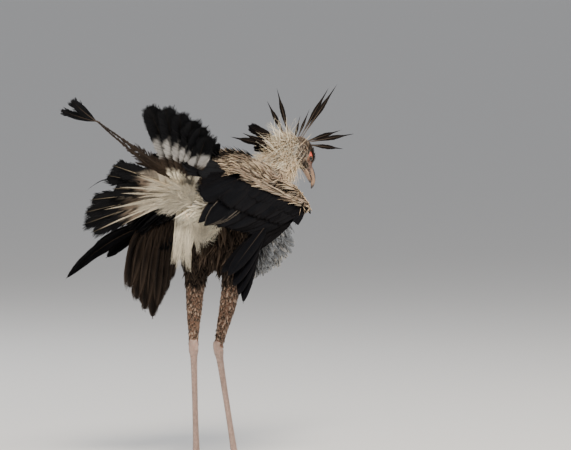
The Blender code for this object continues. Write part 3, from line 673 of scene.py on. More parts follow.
def layTufts(bag, roots, look, tintOf):
    count = len(roots["root"])
    plan = np.array(tuftPlans[look["plan"]])
    rows = len(plan)
    length = rng.uniform(*look["length"], count)[:, None]
    # on a leading edge the feathers hug the limb
    front = ease(roots["normal"][:, :1], -0.05, 0.5) * (look.get("shorter", 0) > 0)
    length = length * (1 - look.get("shorter", 0) * front)
    width = rng.uniform(*look["width"], count)[:, None]
    # the throat's feathers grow into the breast's
    low = ease(0.80 - roots["root"][:, 2:], 0.0, 0.12) * look.get("longer", 0)
    length, width = length * (1 + low), width * (1 + low * 0.5)
    normal, aim = roots["normal"], roots["aim"]
    turn = rng.normal(0, look["scatter"], count)[:, None]
    aim = unit(aim * np.cos(turn) + np.cross(normal, aim) * np.sin(turn))
    rise = np.clip(rng.normal(look["rise"], look.get("ruffle", 0.08), count), 0.02, 1.4)[:, None]
    rise = rise * (1 - 0.30 * front)
    droop = look.get("droop", 0.5) * rise + rng.normal(0, 0.05, count)[:, None] + 0.08 * front
    sweep = rng.normal(0, look.get("curl", 0.06), count)[:, None]
    side = np.cross(normal, aim)
    points = np.empty((count, rows * 3, 3))
    shares = plan[:, 0]
    for row, (share, wide) in enumerate(plan):
        centre = (roots["root"] - normal * look.get("sink", 0.0006) + aim * length * share * np.cos(rise)
                  + normal * length * (np.sin(rise) * share - droop * share * share * 0.5)
                  + side * length * sweep * share * share)
        half = width * wide / 2 * rng.uniform(0.85, 1.15, (count, 1))
        camber = half * look.get("camber", 0.22)
        points[:, row * 3] = centre - side * half - normal * camber
        points[:, row * 3 + 1] = centre + normal * np.maximum(half * 0.12, 0.00022)
        points[:, row * 3 + 2] = centre + side * half - normal * camber
    # the map's first number runs along the feather and back along each barb, its second out to the edge
    featherMap = np.empty((count, rows * 3, 2))
    edge = np.tile([1.0, 0.0, 1.0], rows)[None]
    featherMap[:, :, 0] = (np.repeat(shares, 3)[None] * length
                           - edge * width * 0.7) / 0.01 + rng.random((count, 1)) * 90
    featherMap[:, :, 1] = edge + rng.random((count, 1)) * 9
    bake = roots["chart"][:, None, :] + np.stack([np.tile([-0.0012, 0, 0.0012], rows)[None]
                                                  + np.zeros((count, 1)),
                                                 (np.repeat(shares, 3)[None] - 0.5) * 0.0026
                                                  + np.zeros((count, 1))], 2)
    tint = tintOf(roots, np.repeat(shares, 3)[None, :, None], np.tile([-1.0, 0, 1.0], rows)[None, :, None])
    fill(bag, points, repeated(stripTriangles(rows), count, rows * 3), tint, featherMap, bake)


# a large feather: a tapered shaft and two rows of barbs, thin strips that bend towards the tip

flightPlan = [(0.0, 0.10), (0.10, 0.22), (0.22, 0.70), (0.45, 0.98), (0.70, 1.0), (0.88, 0.86), (0.96, 0.58),
              (1.0, 0.14)]
bluntPlan = [(0.0, 0.12), (0.10, 0.40), (0.25, 0.78), (0.50, 0.98), (0.78, 1.0), (0.92, 0.84), (0.98, 0.52),
             (1.0, 0.20)]
pointPlan = [(0.0, 0.10), (0.12, 0.30), (0.30, 0.80), (0.50, 1.0), (0.70, 0.88), (0.86, 0.55), (0.95, 0.28),
             (1.0, 0.06)]
leafPlan = [(0.0, 0.10), (0.10, 0.24), (0.24, 0.72), (0.45, 0.98), (0.64, 1.0), (0.79, 0.84), (0.89, 0.60),
            (0.96, 0.34), (1.0, 0.06)]


def featherLine(look):
    root, aim = np.array(look["root"], float), unit(look["aim"])
    normal = across(aim, np.array(look["normal"], float))
    side = np.cross(aim, normal)
    length = look["length"]
    lift, sweep, twist = (look.get(key, 0.0) for key in ("lift", "sweep", "twist"))

    def at(share):
        share = np.asarray(share, float)[:, None]
        bend = normal * lift + side * sweep
        centre = root + aim * length * share + bend * share * share
        tangent = unit(aim * length + bend * 2 * share)
        out = across(tangent, side)
        up = np.cross(out, tangent)
        c, s = np.cos(twist * share), np.sin(twist * share)
        return centre, tangent, out * c - up * s, up * c + out * s
    return at


def reaching(root, tip, normal, sweep=0.0, **more):
    # a look for a feather whose line runs from root to tip and bulges away from the side it sweeps to
    root, run = np.array(root, float), np.array(tip, float) - root
    length = math.sqrt(max(run @ run - sweep ** 2, 1e-6))
    turn = math.atan2(sweep, length)
    normal = across(unit(run), np.array(normal, float))
    aim = unit(run) * math.cos(turn) - np.cross(unit(run), normal) * math.sin(turn)
    return {"root": root, "aim": aim, "normal": normal, "length": length, "sweep": sweep, **more}


barbRows = [(0.0, 1.0), (0.45, 1.04), (0.88, 0.90), (1.0, 0.16)]   # share of the barb, share of its width


def layFeather(bag, look, tintOf, cell):
    at, length, width = featherLine(look), look["length"], look["width"]
    plan = np.array(look.get("plan", flightPlan))
    bare, barbs, slant = look.get("bare", 0.04), look.get("barbs", 44), look.get("slant", 0.62)
    ragged, split, camber = look.get("ragged", 0.06), look.get("split", 0.04), look.get("camber", 0.10)

    def reachAt(share, sign):
        narrow = look.get("inner", 1.0) if sign < 0 else look.get("outer", 1.0)
        return width / 2 * np.interp(np.clip(share + 0.06, 0, 1), plan[:, 0], plan[:, 1]) * narrow

    def cellPlace(u, s):
        return np.stack([cell[0] + cell[2] * (0.5 + 0.46 * u),
                         cell[1] + cell[3] * (0.04 + 0.92 * np.clip(s, 0, 1))], -1)

    for sign in (-1, 1):
        share = bare + (1 - bare) * (np.arange(barbs) + 0.5) / barbs
        angle = slant * (1 - 0.55 * ease(share, 0.8, 1.0))
        group = np.cumsum(rng.random(barbs) < split)
        shift = rng.normal(0, look.get("gape", 0.06), group.max() + 1)[group]
        level = rng.normal(0, look.get("shingle", 0.0003), group.max() + 1)[group]
        notch = rng.random(group.max() + 1)[group] ** 2 * 0.6 + rng.random(barbs) ** 3 * 0.7
        reach = reachAt(share, sign) * (1 - ragged * notch) * (1 + rng.normal(0, 0.015, barbs))
        forward = reach / np.tan(angle + shift * 0.5) / length
        over = np.minimum(share + forward, 1.0 + rng.uniform(-0.006, 0.004, barbs) / length)
        wanted = forward
        forward = np.maximum(over - share, 0)
        reach = reach * np.clip(forward / np.maximum(wanted, 1e-6), 0.1, 1) ** 0.7
        pitch = length * (1 - bare) / barbs
        points = np.empty((barbs, 12, 3))
        for row, (u, wide) in enumerate(barbRows):
            centre, tangent, out, up = at(share + forward * (0.55 * u + 0.45 * u * u))
            place = centre + out * (sign * reach * u)[:, None]
            place = place + up * (level * u - camber * reach * u * u)[:, None]
            lean = unit(out * (sign * np.sin(angle))[:, None] + tangent * np.cos(angle)[:, None])
            half = pitch * np.sin(angle)[:, None] * look.get("overlap", 0.66) * wide
            beside, thick = np.cross(up, lean) * half, up * look.get("thick", 0.00022)
            points[:, row * 3] = place - beside - thick * 0.6
            points[:, row * 3 + 1] = place + thick
            points[:, row * 3 + 2] = place + beside - thick * 0.6
        u = np.repeat([row[0] for row in barbRows], 3)[None, :] + np.zeros((barbs, 1))
        s = share[:, None] + forward[:, None] * u
        tint = tintOf(np.clip(s, 0, 1)[:, :, None], (u * sign)[:, :, None])
        tint = tint * (1 + rng.normal(0, look.get("streak", 0.10), (barbs, 1, 1)))
        featherMap = np.stack([share[:, None] * length / 0.01 + 0 * u, u], 2)
        strips = repeated(stripTriangles(len(barbRows)), barbs, len(barbRows) * 3)
        fill(bag, points, strips, tint, featherMap, cellPlace(u * sign, s))

    # the web between the barbs: a thin closed plate that keeps the vane whole
    webShare = look.get("web", 0.86)
    if webShare:
        steps = look.get("steps", 15)
        lanes = np.array([-1.0, -0.90, -0.45, 0.0, 0.45, 0.90, 1.0])
        wide = len(lanes)
        share = np.linspace(bare, 0.975, steps)
        centre, tangent, out, up = at(share)
        points, us, ss = [], [], []
        for face in (1, -1):
            for lane in lanes:
                reach = reachAt(share - 0.05, np.sign(lane)) * webShare
                points.append(centre + out * (reach * lane)[:, None]
                              + up * (face * 0.00009 - camber * reach * lane * lane)[:, None])
                us.append(np.full(steps, lane * webShare))
                ss.append(share)
        points, us, ss = np.stack(points, 1), np.stack(us, 1), np.stack(ss, 1)
        triangles = []
        for i in range(steps - 1):
            for lane in range(wide - 1):
                a, b = i * 2 * wide + lane, (i + 1) * 2 * wide + lane
                triangles += [(a, a + 1, b + 1), (a, b + 1, b)]
                a, b = a + wide, b + wide
                triangles += [(a, b + 1, a + 1), (a, b, b + 1)]
            for a, flip in ((i * 2 * wide, 1), (i * 2 * wide + wide - 1, -1)):
                quad = [(a, a + 2 * wide, a + 3 * wide), (a, a + 3 * wide, a + wide)]
                triangles += quad if flip > 0 else [t[::-1] for t in quad]
        for i, flip in ((0, 1), (steps - 1, -1)):
            for lane in range(wide - 1):
                a = i * 2 * wide + lane
                quad = [(a, a + wide, a + wide + 1), (a, a + wide + 1, a + 1)]
                triangles += quad if flip > 0 else [t[::-1] for t in quad]
        flatReach = width / 2 * np.abs(us)
        featherMap = np.stack([(ss * length - flatReach / math.tan(slant)) / 0.01, np.abs(us)], 2)
        tint = tintOf(ss[:, :, None], us[:, :, None]) + np.zeros((steps, 2 * wide, 3))
        fill(bag, points, triangles, tint, featherMap, cellPlace(us, ss))

    # the shaft
    shares = np.linspace(0.0, 0.985, 10)
    centre, tangent, out, up = at(shares)
    thickness = look.get("shaft", 0.0011) * (1 - 0.88 * shares)[:, None]
    points = np.stack([centre + direction * thickness for direction in (out, up, -out, -up)], 1)
    triangles = [(0, 1, 2), (0, 2, 3)]
    for row in range(9):
        a, b = row * 4, row * 4 + 4
        for p in range(4):
            q = (p + 1) % 4
            triangles += [(a + p, b + p, b + q), (a + p, b + q, a + q)]
    triangles += [(36, 38, 37), (36, 39, 38)]
    shaftTint = np.array(look.get("shaftTint", (0.30, 0.25, 0.18)))
    fade = mix(1.0, look.get("shaftFade", 0.25), ease(shares, 0.45, 0.9))[:, None, None]
    tint = np.broadcast_to(shaftTint * fade, (10, 4, 3))
    bake = cellPlace(np.tile([-0.02, 0, 0.02, 0], (10, 1)), np.repeat(shares, 4).reshape(10, 4))
    featherMap = np.stack([np.repeat(shares, 4) * length / 0.01, np.zeros(40)], 1)
    fill(bag, points, triangles, tint, featherMap, bake)


# a lock: many long strands that leave one place together and follow one curve

def layLock(bag, look, tintOf, cell):
    at, count, rows = featherLine(look), look["strands"], look["rows"]
    shares = np.linspace(0, 1, rows)
    reach = rng.uniform(0.5, 1.0, count) ** 0.7
    angle, radius = rng.random(count) * 2 * math.pi, np.sqrt(rng.random(count)) * look["spread"]
    phase, waves = rng.random(count) * 2 * math.pi, rng.uniform(0.6, 1.6, count)
    width = rng.uniform(*look["width"], count) / 2
    turn = rng.random(count) * math.pi
    points = np.empty((count, rows * 3, 3))
    for row, share in enumerate(shares):
        centre, tangent, out, up = at(share * reach)
        closing = radius * (1 - look["closing"] * ease(share * reach, 0.15, 1.0))
        wave = look["wave"] * np.sin(phase + share * waves * 2 * math.pi) * share
        middle = centre + out * (np.cos(angle) * closing
                                 + wave)[:, None] + up * (np.sin(angle) * closing - 0.4 * wave)[:, None]
        beside = (out * np.cos(turn)[:, None]
                  + up * np.sin(turn)[:, None]) * (width * (1 - 0.85 * share ** 2))[:, None]
        over = np.cross(tangent, beside)
        points[:, row * 3], points[:, row * 3 + 2] = middle - beside, middle + beside
        points[:, row * 3 + 1] = middle + over * 0.5
    s = np.repeat(shares, 3)[None, :, None] + np.zeros((count, 1, 1))
    tint = tintOf(s, np.tile([-1.0, 0, 1.0], rows)[None, :, None]) * rng.uniform(0.62, 1.06, (count, 1, 1))
    s = s[:, :, 0]
    u = np.clip(np.cos(angle) * radius / look["spread"], -1, 1)[:, None] + 0 * s
    bake = np.stack([cell[0] + cell[2] * (0.5 + 0.45 * u), cell[1] + cell[3] * (0.04 + 0.92 * s)], 2)
    featherMap = np.stack([s * 3 + rng.random((count, 1)) * 60, u], 2)
    fill(bag, points, repeated(stripTriangles(rows), count, rows * 3), tint, featherMap, bake)


def bakeCell(index, total):
    columns = math.ceil(math.sqrt(total * 3))
    rows = math.ceil(total / columns)
    return (index % columns / columns, index // columns / rows, 0.96 / columns, 0.96 / rows)


def layFan(bag, looks, tintOf):
    for index, look in enumerate(looks):
        layFeather(bag, look, look.get("tint", tintOf), bakeCell(index, len(looks)))


def fan(count, roots, aims, normal, lengths, widths, layer, pitch=0.0013, bow=0.0, jitter=0.0, **more):
    looks = []
    for i in range(count):
        t = i / max(1, count - 1)
        aim = across(normal, mix(*aims, t))
        aim = unit(aim + rng.normal(0, jitter, 3))
        root = mix(*roots, t) + normal * (layer - pitch * i) - aim * 0.006
        length = (mix(*lengths, t) + bow * 4 * t * (1 - t)) * (1 + rng.normal(0, 0.02))
        looks.append({"root": root, "aim": aim, "normal": normal, "length": length, "width": mix(*widths, t),
                      **more})
    return looks


def ripple(points, size, seed=0):
    # smooth noise from a few waves, about -1 to 1
    dice = np.random.default_rng(seed)
    directions, phases = unit(dice.normal(size=(7, 3))), dice.random(7) * 2 * math.pi
    return np.sin(points @ directions.T * (2 * math.pi / size) + phases).sum(1) / 3.2


# the photo's colours

colours = {
    "white": vec(0.90, 0.825, 0.67), "cream": vec(0.82, 0.66, 0.47), "pink": vec(0.52, 0.38, 0.29),
    "greyBuff": vec(0.34, 0.29, 0.235), "midBrown": vec(0.16, 0.115, 0.085),
    "darkBrown": vec(0.042, 0.030, 0.023),
    "black": vec(0.0030, 0.0032, 0.0044), "paleGrey": vec(0.42, 0.41, 0.40),
    # the next colour: the breast's own blue-grey, painted darker as the shade the wing casts on it
    "shadedBlueGrey": vec(0.22, 0.235, 0.255),
    "soot": vec(0.0085, 0.0066, 0.0058), "legPink": vec(0.36, 0.25, 0.21), "coral": vec(0.70, 0.095, 0.060),
    # lore: the bare face's dull pinkish brown, darkened in part as painted shade
    "lore": vec(0.19, 0.115, 0.088), "hornPink": vec(0.27, 0.168, 0.108),
    "hornDark": vec(0.030, 0.027, 0.030),
    "rust": vec(0.185, 0.105, 0.072), "orange": vec(0.56, 0.22, 0.085),
}


# small feathers of the coat, zone by zone. mix: colour and share of the feathers that have it

bandMix = [("cream", 0.32), ("pink", 0.16), ("greyBuff", 0.15), ("midBrown", 0.15), ("darkBrown", 0.22)]
coatPlan = {
    "mantle": {"spacing": 0.0047, "plan": "lance", "length": (0.050, 0.082), "width": (0.0050, 0.0085),
               "rise": 0.24,
               "scatter": 0.10, "droop": 0.9, "mix": bandMix, "shorter": 0.5, "edge": ("cream", 0.30),
               "shaft": 0.48,
               "under": "midBrown"},
    # the breast's grey carries painted shade, the shade that falls on it under the wing
    "breast": {"spacing": 0.0062, "plan": "petal", "length": (0.034, 0.050), "width": (0.010, 0.015),
               "rise": 0.17,
               "scatter": 0.10, "droop": 1.1, "mix": [("shadedBlueGrey", 0.85), ("paleGrey", 0.15)],
               "edge": ("paleGrey", 0.40),
               "shaft": 0.86, "pale": 0.7, "vary": 0.06, "under": "shadedBlueGrey"},
    "belly": {"spacing": 0.0060, "plan": "lance", "length": (0.026, 0.042), "width": (0.005, 0.009),
              "rise": 0.30,
              "scatter": 0.30, "droop": 1.0, "mix": [("soot", 0.24), ("darkBrown", 0.44), ("midBrown", 0.32)],
              "tip": ("midBrown", 0.35),
              "shaft": 0.8, "under": "soot"},
    "trouser": {"spacing": 0.0050, "plan": "lance", "length": (0.022, 0.038), "width": (0.0045, 0.0080),
                "rise": 0.33,
                "scatter": 0.34, "droop": 1.0, "mix": [("soot", 0.54), ("darkBrown", 0.36),
                                                       ("midBrown", 0.10)],
                "tip": ("midBrown", 0.35), "shaft": 0.8, "under": "soot"},
    "shin": {"spacing": 0.0036, "plan": "round", "length": (0.009, 0.014), "width": (0.0036, 0.0055),
             "rise": 0.40,
             "scatter": 0.32, "droop": 0.8, "mix": [("rust", 0.46), ("darkBrown", 0.30), ("pink", 0.24)],
             "tip": ("pink", 0.5), "shaft": 0.6, "under": "rust"},
    "scapular": {"spacing": 0.0043, "plan": "lance", "length": (0.055, 0.090), "width": (0.0050, 0.0080),
                 "rise": 0.20,
                 "scatter": 0.09, "droop": 1.0, "mix": bandMix, "shorter": 0.6, "edge": ("cream", 0.32),
                 "shaft": 0.45,
                 "under": "midBrown"},
    "lesser": {"spacing": 0.0040, "plan": "lance", "length": (0.034, 0.060), "width": (0.0042, 0.0066),
               "rise": 0.17,
               "scatter": 0.10, "droop": 1.1, "mix": bandMix, "shorter": 0.66, "edge": ("cream", 0.30),
               "shaft": 0.45,
               "under": "midBrown"},
    "cap": {"spacing": 0.0036, "plan": "lance", "length": (0.018, 0.032), "width": (0.0036, 0.0056),
            "rise": 0.15,
            "scatter": 0.14, "droop": 1.2, "mix": bandMix, "shorter": 0.2, "edge": ("cream", 0.30),
            "shaft": 0.5, "under": "midBrown"},
    "underarm": {"spacing": 0.0062, "plan": "round", "length": (0.026, 0.038), "width": (0.009, 0.013),
                 "rise": 0.18,
                 "scatter": 0.14, "droop": 1.0, "mix": [("soot", 0.6), ("darkBrown", 0.4)], "shaft": 0.8,
                 "under": "soot"},
    "palm": {"spacing": 0.0052, "plan": "round", "length": (0.018, 0.028), "width": (0.008, 0.011),
             "rise": 0.16,
             "scatter": 0.12, "droop": 1.0, "mix": [("soot", 0.5), ("black", 0.5)], "shaft": 0.8,
             "under": "soot"},
    "rump": {"spacing": 0.0048, "plan": "lance", "length": (0.034, 0.062), "width": (0.0045, 0.0080),
             "rise": 0.30,
             "scatter": 0.24, "droop": 0.8, "mix": [("white", 0.66), ("paleGrey", 0.10), ("cream", 0.24)],
             "shaft": 0.90, "under": "paleGrey"},
    "vent": {"spacing": 0.0027, "plan": "hair", "length": (0.030, 0.062), "width": (0.0010, 0.0019),
             "rise": 0.55,
             "scatter": 0.42, "droop": 1.3, "curl": 0.26, "ruffle": 0.22,
             "mix": [("white", 0.84), ("paleGrey", 0.16)],
             "shaft": 1.0, "under": "white"},
    "hackle": {"spacing": 0.0034, "plan": "lance", "length": (0.034, 0.062), "width": (0.0020, 0.0034),
               "rise": 0.36,
               "scatter": 0.17, "droop": 0.6, "mix": [("white", 0.46), ("cream", 0.36), ("greyBuff", 0.08),
               ("paleGrey", 0.10)], "shaft": 0.76, "warm": 0.85, "under": "greyBuff"},
    "throat": {"spacing": 0.0042, "plan": "round", "length": (0.024, 0.038), "width": (0.0056, 0.0086),
               "rise": 0.20,
               "scatter": 0.13, "droop": 0.9, "mix": [("white", 0.62), ("paleGrey", 0.30),
                                                      ("greyBuff", 0.08)],
               "shaft": 0.75, "bars": 0.9, "longer": 0.9, "under": "paleGrey"},
    "crown": {"spacing": 0.0022, "plan": "lance", "length": (0.012, 0.020), "width": (0.0024, 0.0036),
              "rise": 0.56,
              "scatter": 0.16, "droop": 0.9, "sink": 0.0003, "mix": [("greyBuff", 0.22), ("midBrown", 0.46),
              ("pink", 0.22), ("cream", 0.10)], "shaft": 0.50, "brow": 0.85, "under": "midBrown"},
    "cheek": {"spacing": 0.0020, "plan": "lance", "length": (0.008, 0.013), "width": (0.0020, 0.0030),
              "rise": 0.42,
              "scatter": 0.14, "droop": 0.9, "sink": 0.0003, "mix": [("greyBuff", 0.42), ("pink", 0.26),
              ("midBrown", 0.14), ("paleGrey", 0.18)], "shaft": 0.60, "stripes": 0.85, "under": "greyBuff"},
    "bare": {"spacing": 0.0026, "plan": "hair", "length": (0.003, 0.006), "width": (0.0004, 0.0006),
             "rise": 0.40,
             "scatter": 0.3, "droop": 0.6, "sink": 0.0002, "aim": tuple(headAhead), "mix": [("soot", 0.7),
             ("midBrown", 0.3)], "shaft": 1.0, "under": "legPink"},
}


def coatTint(look, seed):
    names = [name for name, share in look["mix"]]
    shares = np.cumsum([share for name, share in look["mix"]])
    table = np.array([colours[name] for name in names])

    def tintOf(roots, s, u):
        spots = roots["root"]
        count = len(spots)
        draw = np.clip(rng.random(count) * 0.72 + 0.14 + 0.14 * ripple(spots, 0.055, seed), 0,
                       0.999) * shares[-1]
        colour = table[np.searchsorted(shares, draw)][:, None, :]
        colour = colour * (1 + rng.normal(0, look.get("vary", 0.13), (count, 1, 1)))
        if "stripes" in look:
            stripe = ease(np.sin(((spots - headPlan["centre"]) @ unit(headUp * 0.8 + headAhead * 0.6)) * 2
                                 * math.pi / 0.0085
                                 + ripple(spots, 0.03, 5)), 0.0, 0.6) * look["stripes"]
            colour = mix(colour, colours["darkBrown"], stripe[:, None, None])
            # painted shade: the chin under the bill darkened
            local = spots - headPlan["centre"]
            chin = ease(local @ headAhead, -0.004, 0.012) * ease(-(local @ headUp), 0.004, 0.010)
            colour = mix(colour, colours["darkBrown"], 0.75 * chin[:, None, None])
        if "brow" in look:
            local = spots - headPlan["centre"]
            along, up = local @ headAhead, local @ headUp
            brow = look["brow"] * np.maximum(ease(along, -0.004, 0.008) * ease(up, 0.002, 0.008),
                                             ease(along, -0.027, -0.020) * ease(up, 0.006, 0.011))
            colour = mix(colour, colours["soot"], brow[:, None, None])
        if "warm" in look:
            height = (spots - np.array(neckPlan["rows"][1][0])) @ neckUp
            colour = mix(colour, colours["cream"] * 1.12,
                         (look["warm"] * (1 - ease(height, 0.000, 0.030)))[:, None, None])
        colour = colour + 0 * s + 0 * u
        if "tip" in look:
            colour = mix(colour, colours[look["tip"][0]], ease(s, 0.55, 1.0) * look["tip"][1])
        if "bars" in look:
            low = ease(0.80 - spots[:, 2], 0.0, 0.10)[:, None, None]
            colour = mix(colour, colours["greyBuff"] * 0.6, (s > 0.5) * (s < 0.9) * look["bars"] * (1 - low))
            colour = mix(colour, colours["shadedBlueGrey"] * 1.5, 0.75 * low)
        if "pale" in look:
            front = ease(spots[:, 0], 0.19, 0.26)[:, None, None]
            colour = mix(colour, colours["shadedBlueGrey"] * 1.45, look["pale"] * front)
        if "edge" in look:
            colour = mix(colour, colours[look["edge"][0]], np.abs(u) * (0.4 + 0.6 * s) * look["edge"][1])
        return colour * mix(look["shaft"], 1.0, np.abs(u)) * mix(0.72, 1.0, ease(s, 0.0, 0.35))
    return tintOf


def layZone(bag, name, extra=None, **changes):
    look = {**coatPlan[name], **changes}
    roots = sow(name, look["spacing"], extra)
    if "aim" in look:
        roots["aim"] = across(roots["normal"], vec(*look["aim"]))
    layTufts(bag, roots, look, coatTint(look, zoneNames.index(name)))
    return len(roots["root"])


# materials: colour comes from the tint of each mesh, and fine streaks, barbs and wear from noise

def newMaterial(name):
    material = bpy.data.materials.new(name)
    material.use_nodes = True
    nodes, links = material.node_tree.nodes, material.node_tree.links
    return material, nodes, links, nodes["Principled BSDF"]


def addNode(nodes, kind, **settings):
    node = nodes.new(kind)
    for key, value in settings.items():
        if key in node.inputs:
            node.inputs[key].default_value = value
        else:
            setattr(node, key, value)
    return node


def addNoise(nodes, links, source, scale, detail=3.0, stretch=(1, 1, 1)):
    mapping = addNode(nodes, "ShaderNodeMapping")
    mapping.inputs["Scale"].default_value = stretch
    noise = addNode(nodes, "ShaderNodeTexNoise", Scale=scale, Detail=detail, Roughness=0.6)
    links.new(source, mapping.inputs["Vector"])
    links.new(mapping.outputs["Vector"], noise.inputs["Vector"])
    return noise.outputs["Fac"]


def addRange(nodes, links, value, low, high):
    node = addNode(nodes, "ShaderNodeMapRange")
    node.inputs["From Min"].default_value = 0.3
    node.inputs["From Max"].default_value = 0.7
    node.inputs["To Min"].default_value = low
    node.inputs["To Max"].default_value = high
    links.new(value, node.inputs["Value"])
    return node.outputs["Result"]


def tintedMaterial(name, look):
    material, nodes, links, shader = newMaterial(name)
    tint = addNode(nodes, "ShaderNodeAttribute", attribute_name="tint")
    if look.get("feather"):
        source = addNode(nodes, "ShaderNodeUVMap", uv_map="feather").outputs["UV"]
    else:
        source = addNode(nodes, "ShaderNodeTexCoord").outputs["Object"]
    fine = addNoise(nodes, links, source, look["grain"], 4.0, look.get("stretch", (1, 1, 1)))
    broad = addNoise(nodes, links, addNode(nodes, "ShaderNodeTexCoord").outputs["Object"],
                     look.get("patch", 30.0), 2.0)
    for value, spread in ((fine, look.get("grainDepth", 0.25)), (broad, look.get("patchDepth", 0.12))):
        mixed = addNode(nodes, "ShaderNodeVectorMath", operation="SCALE")
        links.new(addRange(nodes, links, value, 1 - spread, 1 + spread), mixed.inputs["Scale"])
        links.new(tint.outputs["Color"] if value is fine else colour, mixed.inputs[0])
        colour = mixed.outputs["Vector"]
    links.new(colour, shader.inputs["Base Color"])
    links.new(addRange(nodes, links, fine, look["rough"][0], look["rough"][1]), shader.inputs["Roughness"])
    shader.inputs["Specular IOR Level"].default_value = look.get("specular", 0.35)
    shader.inputs["Sheen Weight"].default_value = look.get("sheen", 0.0)
    shader.inputs["Sheen Roughness"].default_value = 0.5
    shader.inputs["Coat Weight"].default_value = look.get("coat", 0.0)
    shader.inputs["Coat Roughness"].default_value = 0.05
    if look.get("soft"):
        shader.inputs["Subsurface Weight"].default_value = look["soft"]
        shader.inputs["Subsurface Scale"].default_value = 0.002
    height = fine
    if "scales" in look:
        cells = addNode(nodes, "ShaderNodeTexVoronoi", Scale=look["scales"])
        cells.feature = "DISTANCE_TO_EDGE"
        links.new(addNode(nodes, "ShaderNodeTexCoord").outputs["Object"], cells.inputs["Vector"])
        both = addNode(nodes, "ShaderNodeMath", operation="ADD")
        links.new(addRange(nodes, links, cells.outputs["Distance"], 0.0, 1.0), both.inputs[0])
        links.new(fine, both.inputs[1])
        height = both.outputs["Value"]
    bump = addNode(nodes, "ShaderNodeBump", Strength=look.get("bump", 0.3),
                   Distance=look.get("depth", 0.0006))
    links.new(height, bump.inputs["Height"])
    links.new(bump.outputs["Normal"], shader.inputs["Normal"])
    return material


finishes = {
    "plume": tintedMaterial("plume", {"feather": True, "grain": 1.0, "stretch": (24, 1.6, 1),
                                      "grainDepth": 0.24,
                                      "rough": (0.54, 0.76), "specular": 0.08, "sheen": 0.0, "bump": 0.35}),
    "gloss": tintedMaterial("glossPlume", {"feather": True, "grain": 1.0, "stretch": (24, 1.2, 1),
                                           "grainDepth": 0.20,
                                           "rough": (0.50, 0.68), "specular": 0.03, "bump": 0.3}),
    "down": tintedMaterial("down", {"feather": True, "grain": 1.0, "stretch": (12, 1.0, 1),
                                    "grainDepth": 0.08,
                                    "rough": (0.62, 0.85), "specular": 0.2, "sheen": 0.25, "bump": 0.15}),
    "skin": tintedMaterial("bareSkin", {"grain": 900.0, "grainDepth": 0.16, "rough": (0.46, 0.66),
                                        "specular": 0.4,
                                        "soft": 0.12, "scales": 420.0, "bump": 0.45, "patch": 120.0,
                                        "depth": 0.0008}),
    "scute": tintedMaterial("scute", {"grain": 700.0, "grainDepth": 0.18, "rough": (0.38, 0.62),
                                      "specular": 0.45,
                                      "bump": 0.3, "patch": 90.0}),
    "bill": tintedMaterial("billHorn", {"grain": 260.0, "stretch": (1, 1, 1), "grainDepth": 0.12,
                                        "rough": (0.22, 0.40),
                                        "specular": 0.5, "bump": 0.16, "patch": 110.0, "coat": 0.12}),
    "claw": tintedMaterial("clawHorn", {"grain": 420.0, "grainDepth": 0.22, "rough": (0.26, 0.46),
                                        "specular": 0.5,
                                        "bump": 0.2, "patch": 90.0}),
    "eye": tintedMaterial("eyeGlass", {"grain": 1500.0, "grainDepth": 0.15, "rough": (0.04, 0.07),
                                       "specular": 0.4,
                                       "bump": 0.01, "patch": 500.0, "coat": 0.15}),
}
print("materials made")

made = []   # piece, slot, nodes that it stands for


def keep(obj, slot, *nodes):
    made.append((obj, slot, nodes))
    return obj


def paint(obj, tint, material):
    attribute = obj.data.color_attributes.new("tint", "FLOAT_COLOR", "POINT")
    four = np.ones((len(obj.data.vertices), 4), np.float32)
    four[:, :3] = np.clip(tint, 0, 1)
    attribute.data.foreach_set("color", four.ravel())
    obj.data.materials.clear()
    obj.data.materials.append(material)
    obj.data.polygons.foreach_set("use_smooth", np.ones(len(obj.data.polygons), bool))
    obj.data.update()


# the skin under the coat shares its markings

tint = np.zeros((len(skinPoints), 3)) + colours["legPink"]
for name, look in coatPlan.items():
    tint[zone == zoneNames.index(name)] = colours[look["under"]] * 0.8
legs = onLimb("shank", "toe")
tint[legs] = colours["legPink"] * (1 + 0.16 * ripple(skinPoints[legs], 0.02, 3))[:, None]
# the face's orange-red skin keeps its coral only above the eye; round the eye the orange is painted at three
# tenths of its strength: painted shade over the face's own colour
nearEye = np.exp(-(np.maximum(eyeGap - 0.0092, 0) / 0.0042) ** 2)
faceTint = colours["lore"] * (1 + 0.25 * ripple(skinPoints, 0.010, 8))[:, None]
faceTint = mix(faceTint, colours["orange"] * 0.30, (0.5 * nearEye)[:, None])
wideEye = np.exp(-(np.maximum(eyeGap - 0.0100, 0) / 0.0065) ** 2)
coralShare = wideEye * ease(faceUp, 0.0030, 0.0068) * (0.9 + 0.2 * ripple(skinPoints, 0.008, 9))
coralShare = np.clip(np.maximum(coralShare * 1.2, ease(-coralGap, -0.0085, -0.0055)), 0, 1)
faceTint = mix(faceTint, colours["coral"], coralShare[:, None])
faceTint = mix(faceTint, colours["darkBrown"],
               (0.75 * ease(faceUp, 0.008, 0.014) * ease(faceAlong, 0.010, 0.020))[:, None])
# painted shade: the bare skin below the eye darkened
faceTint = mix(faceTint, colours["darkBrown"], (0.5 * ease(-faceUp, 0.004, 0.010))[:, None])
tint[bareFace] = faceTint[bareFace]
paint(skin, tint, finishes["skin"])
keep(skin, "leg_skin", "torso", "neck", "thigh_left", "thigh_right", "tarsus_left", "tarsus_right",
     "foot_left", "foot_right")

# coat pieces, and the longer feathers that hang or stand over some of them

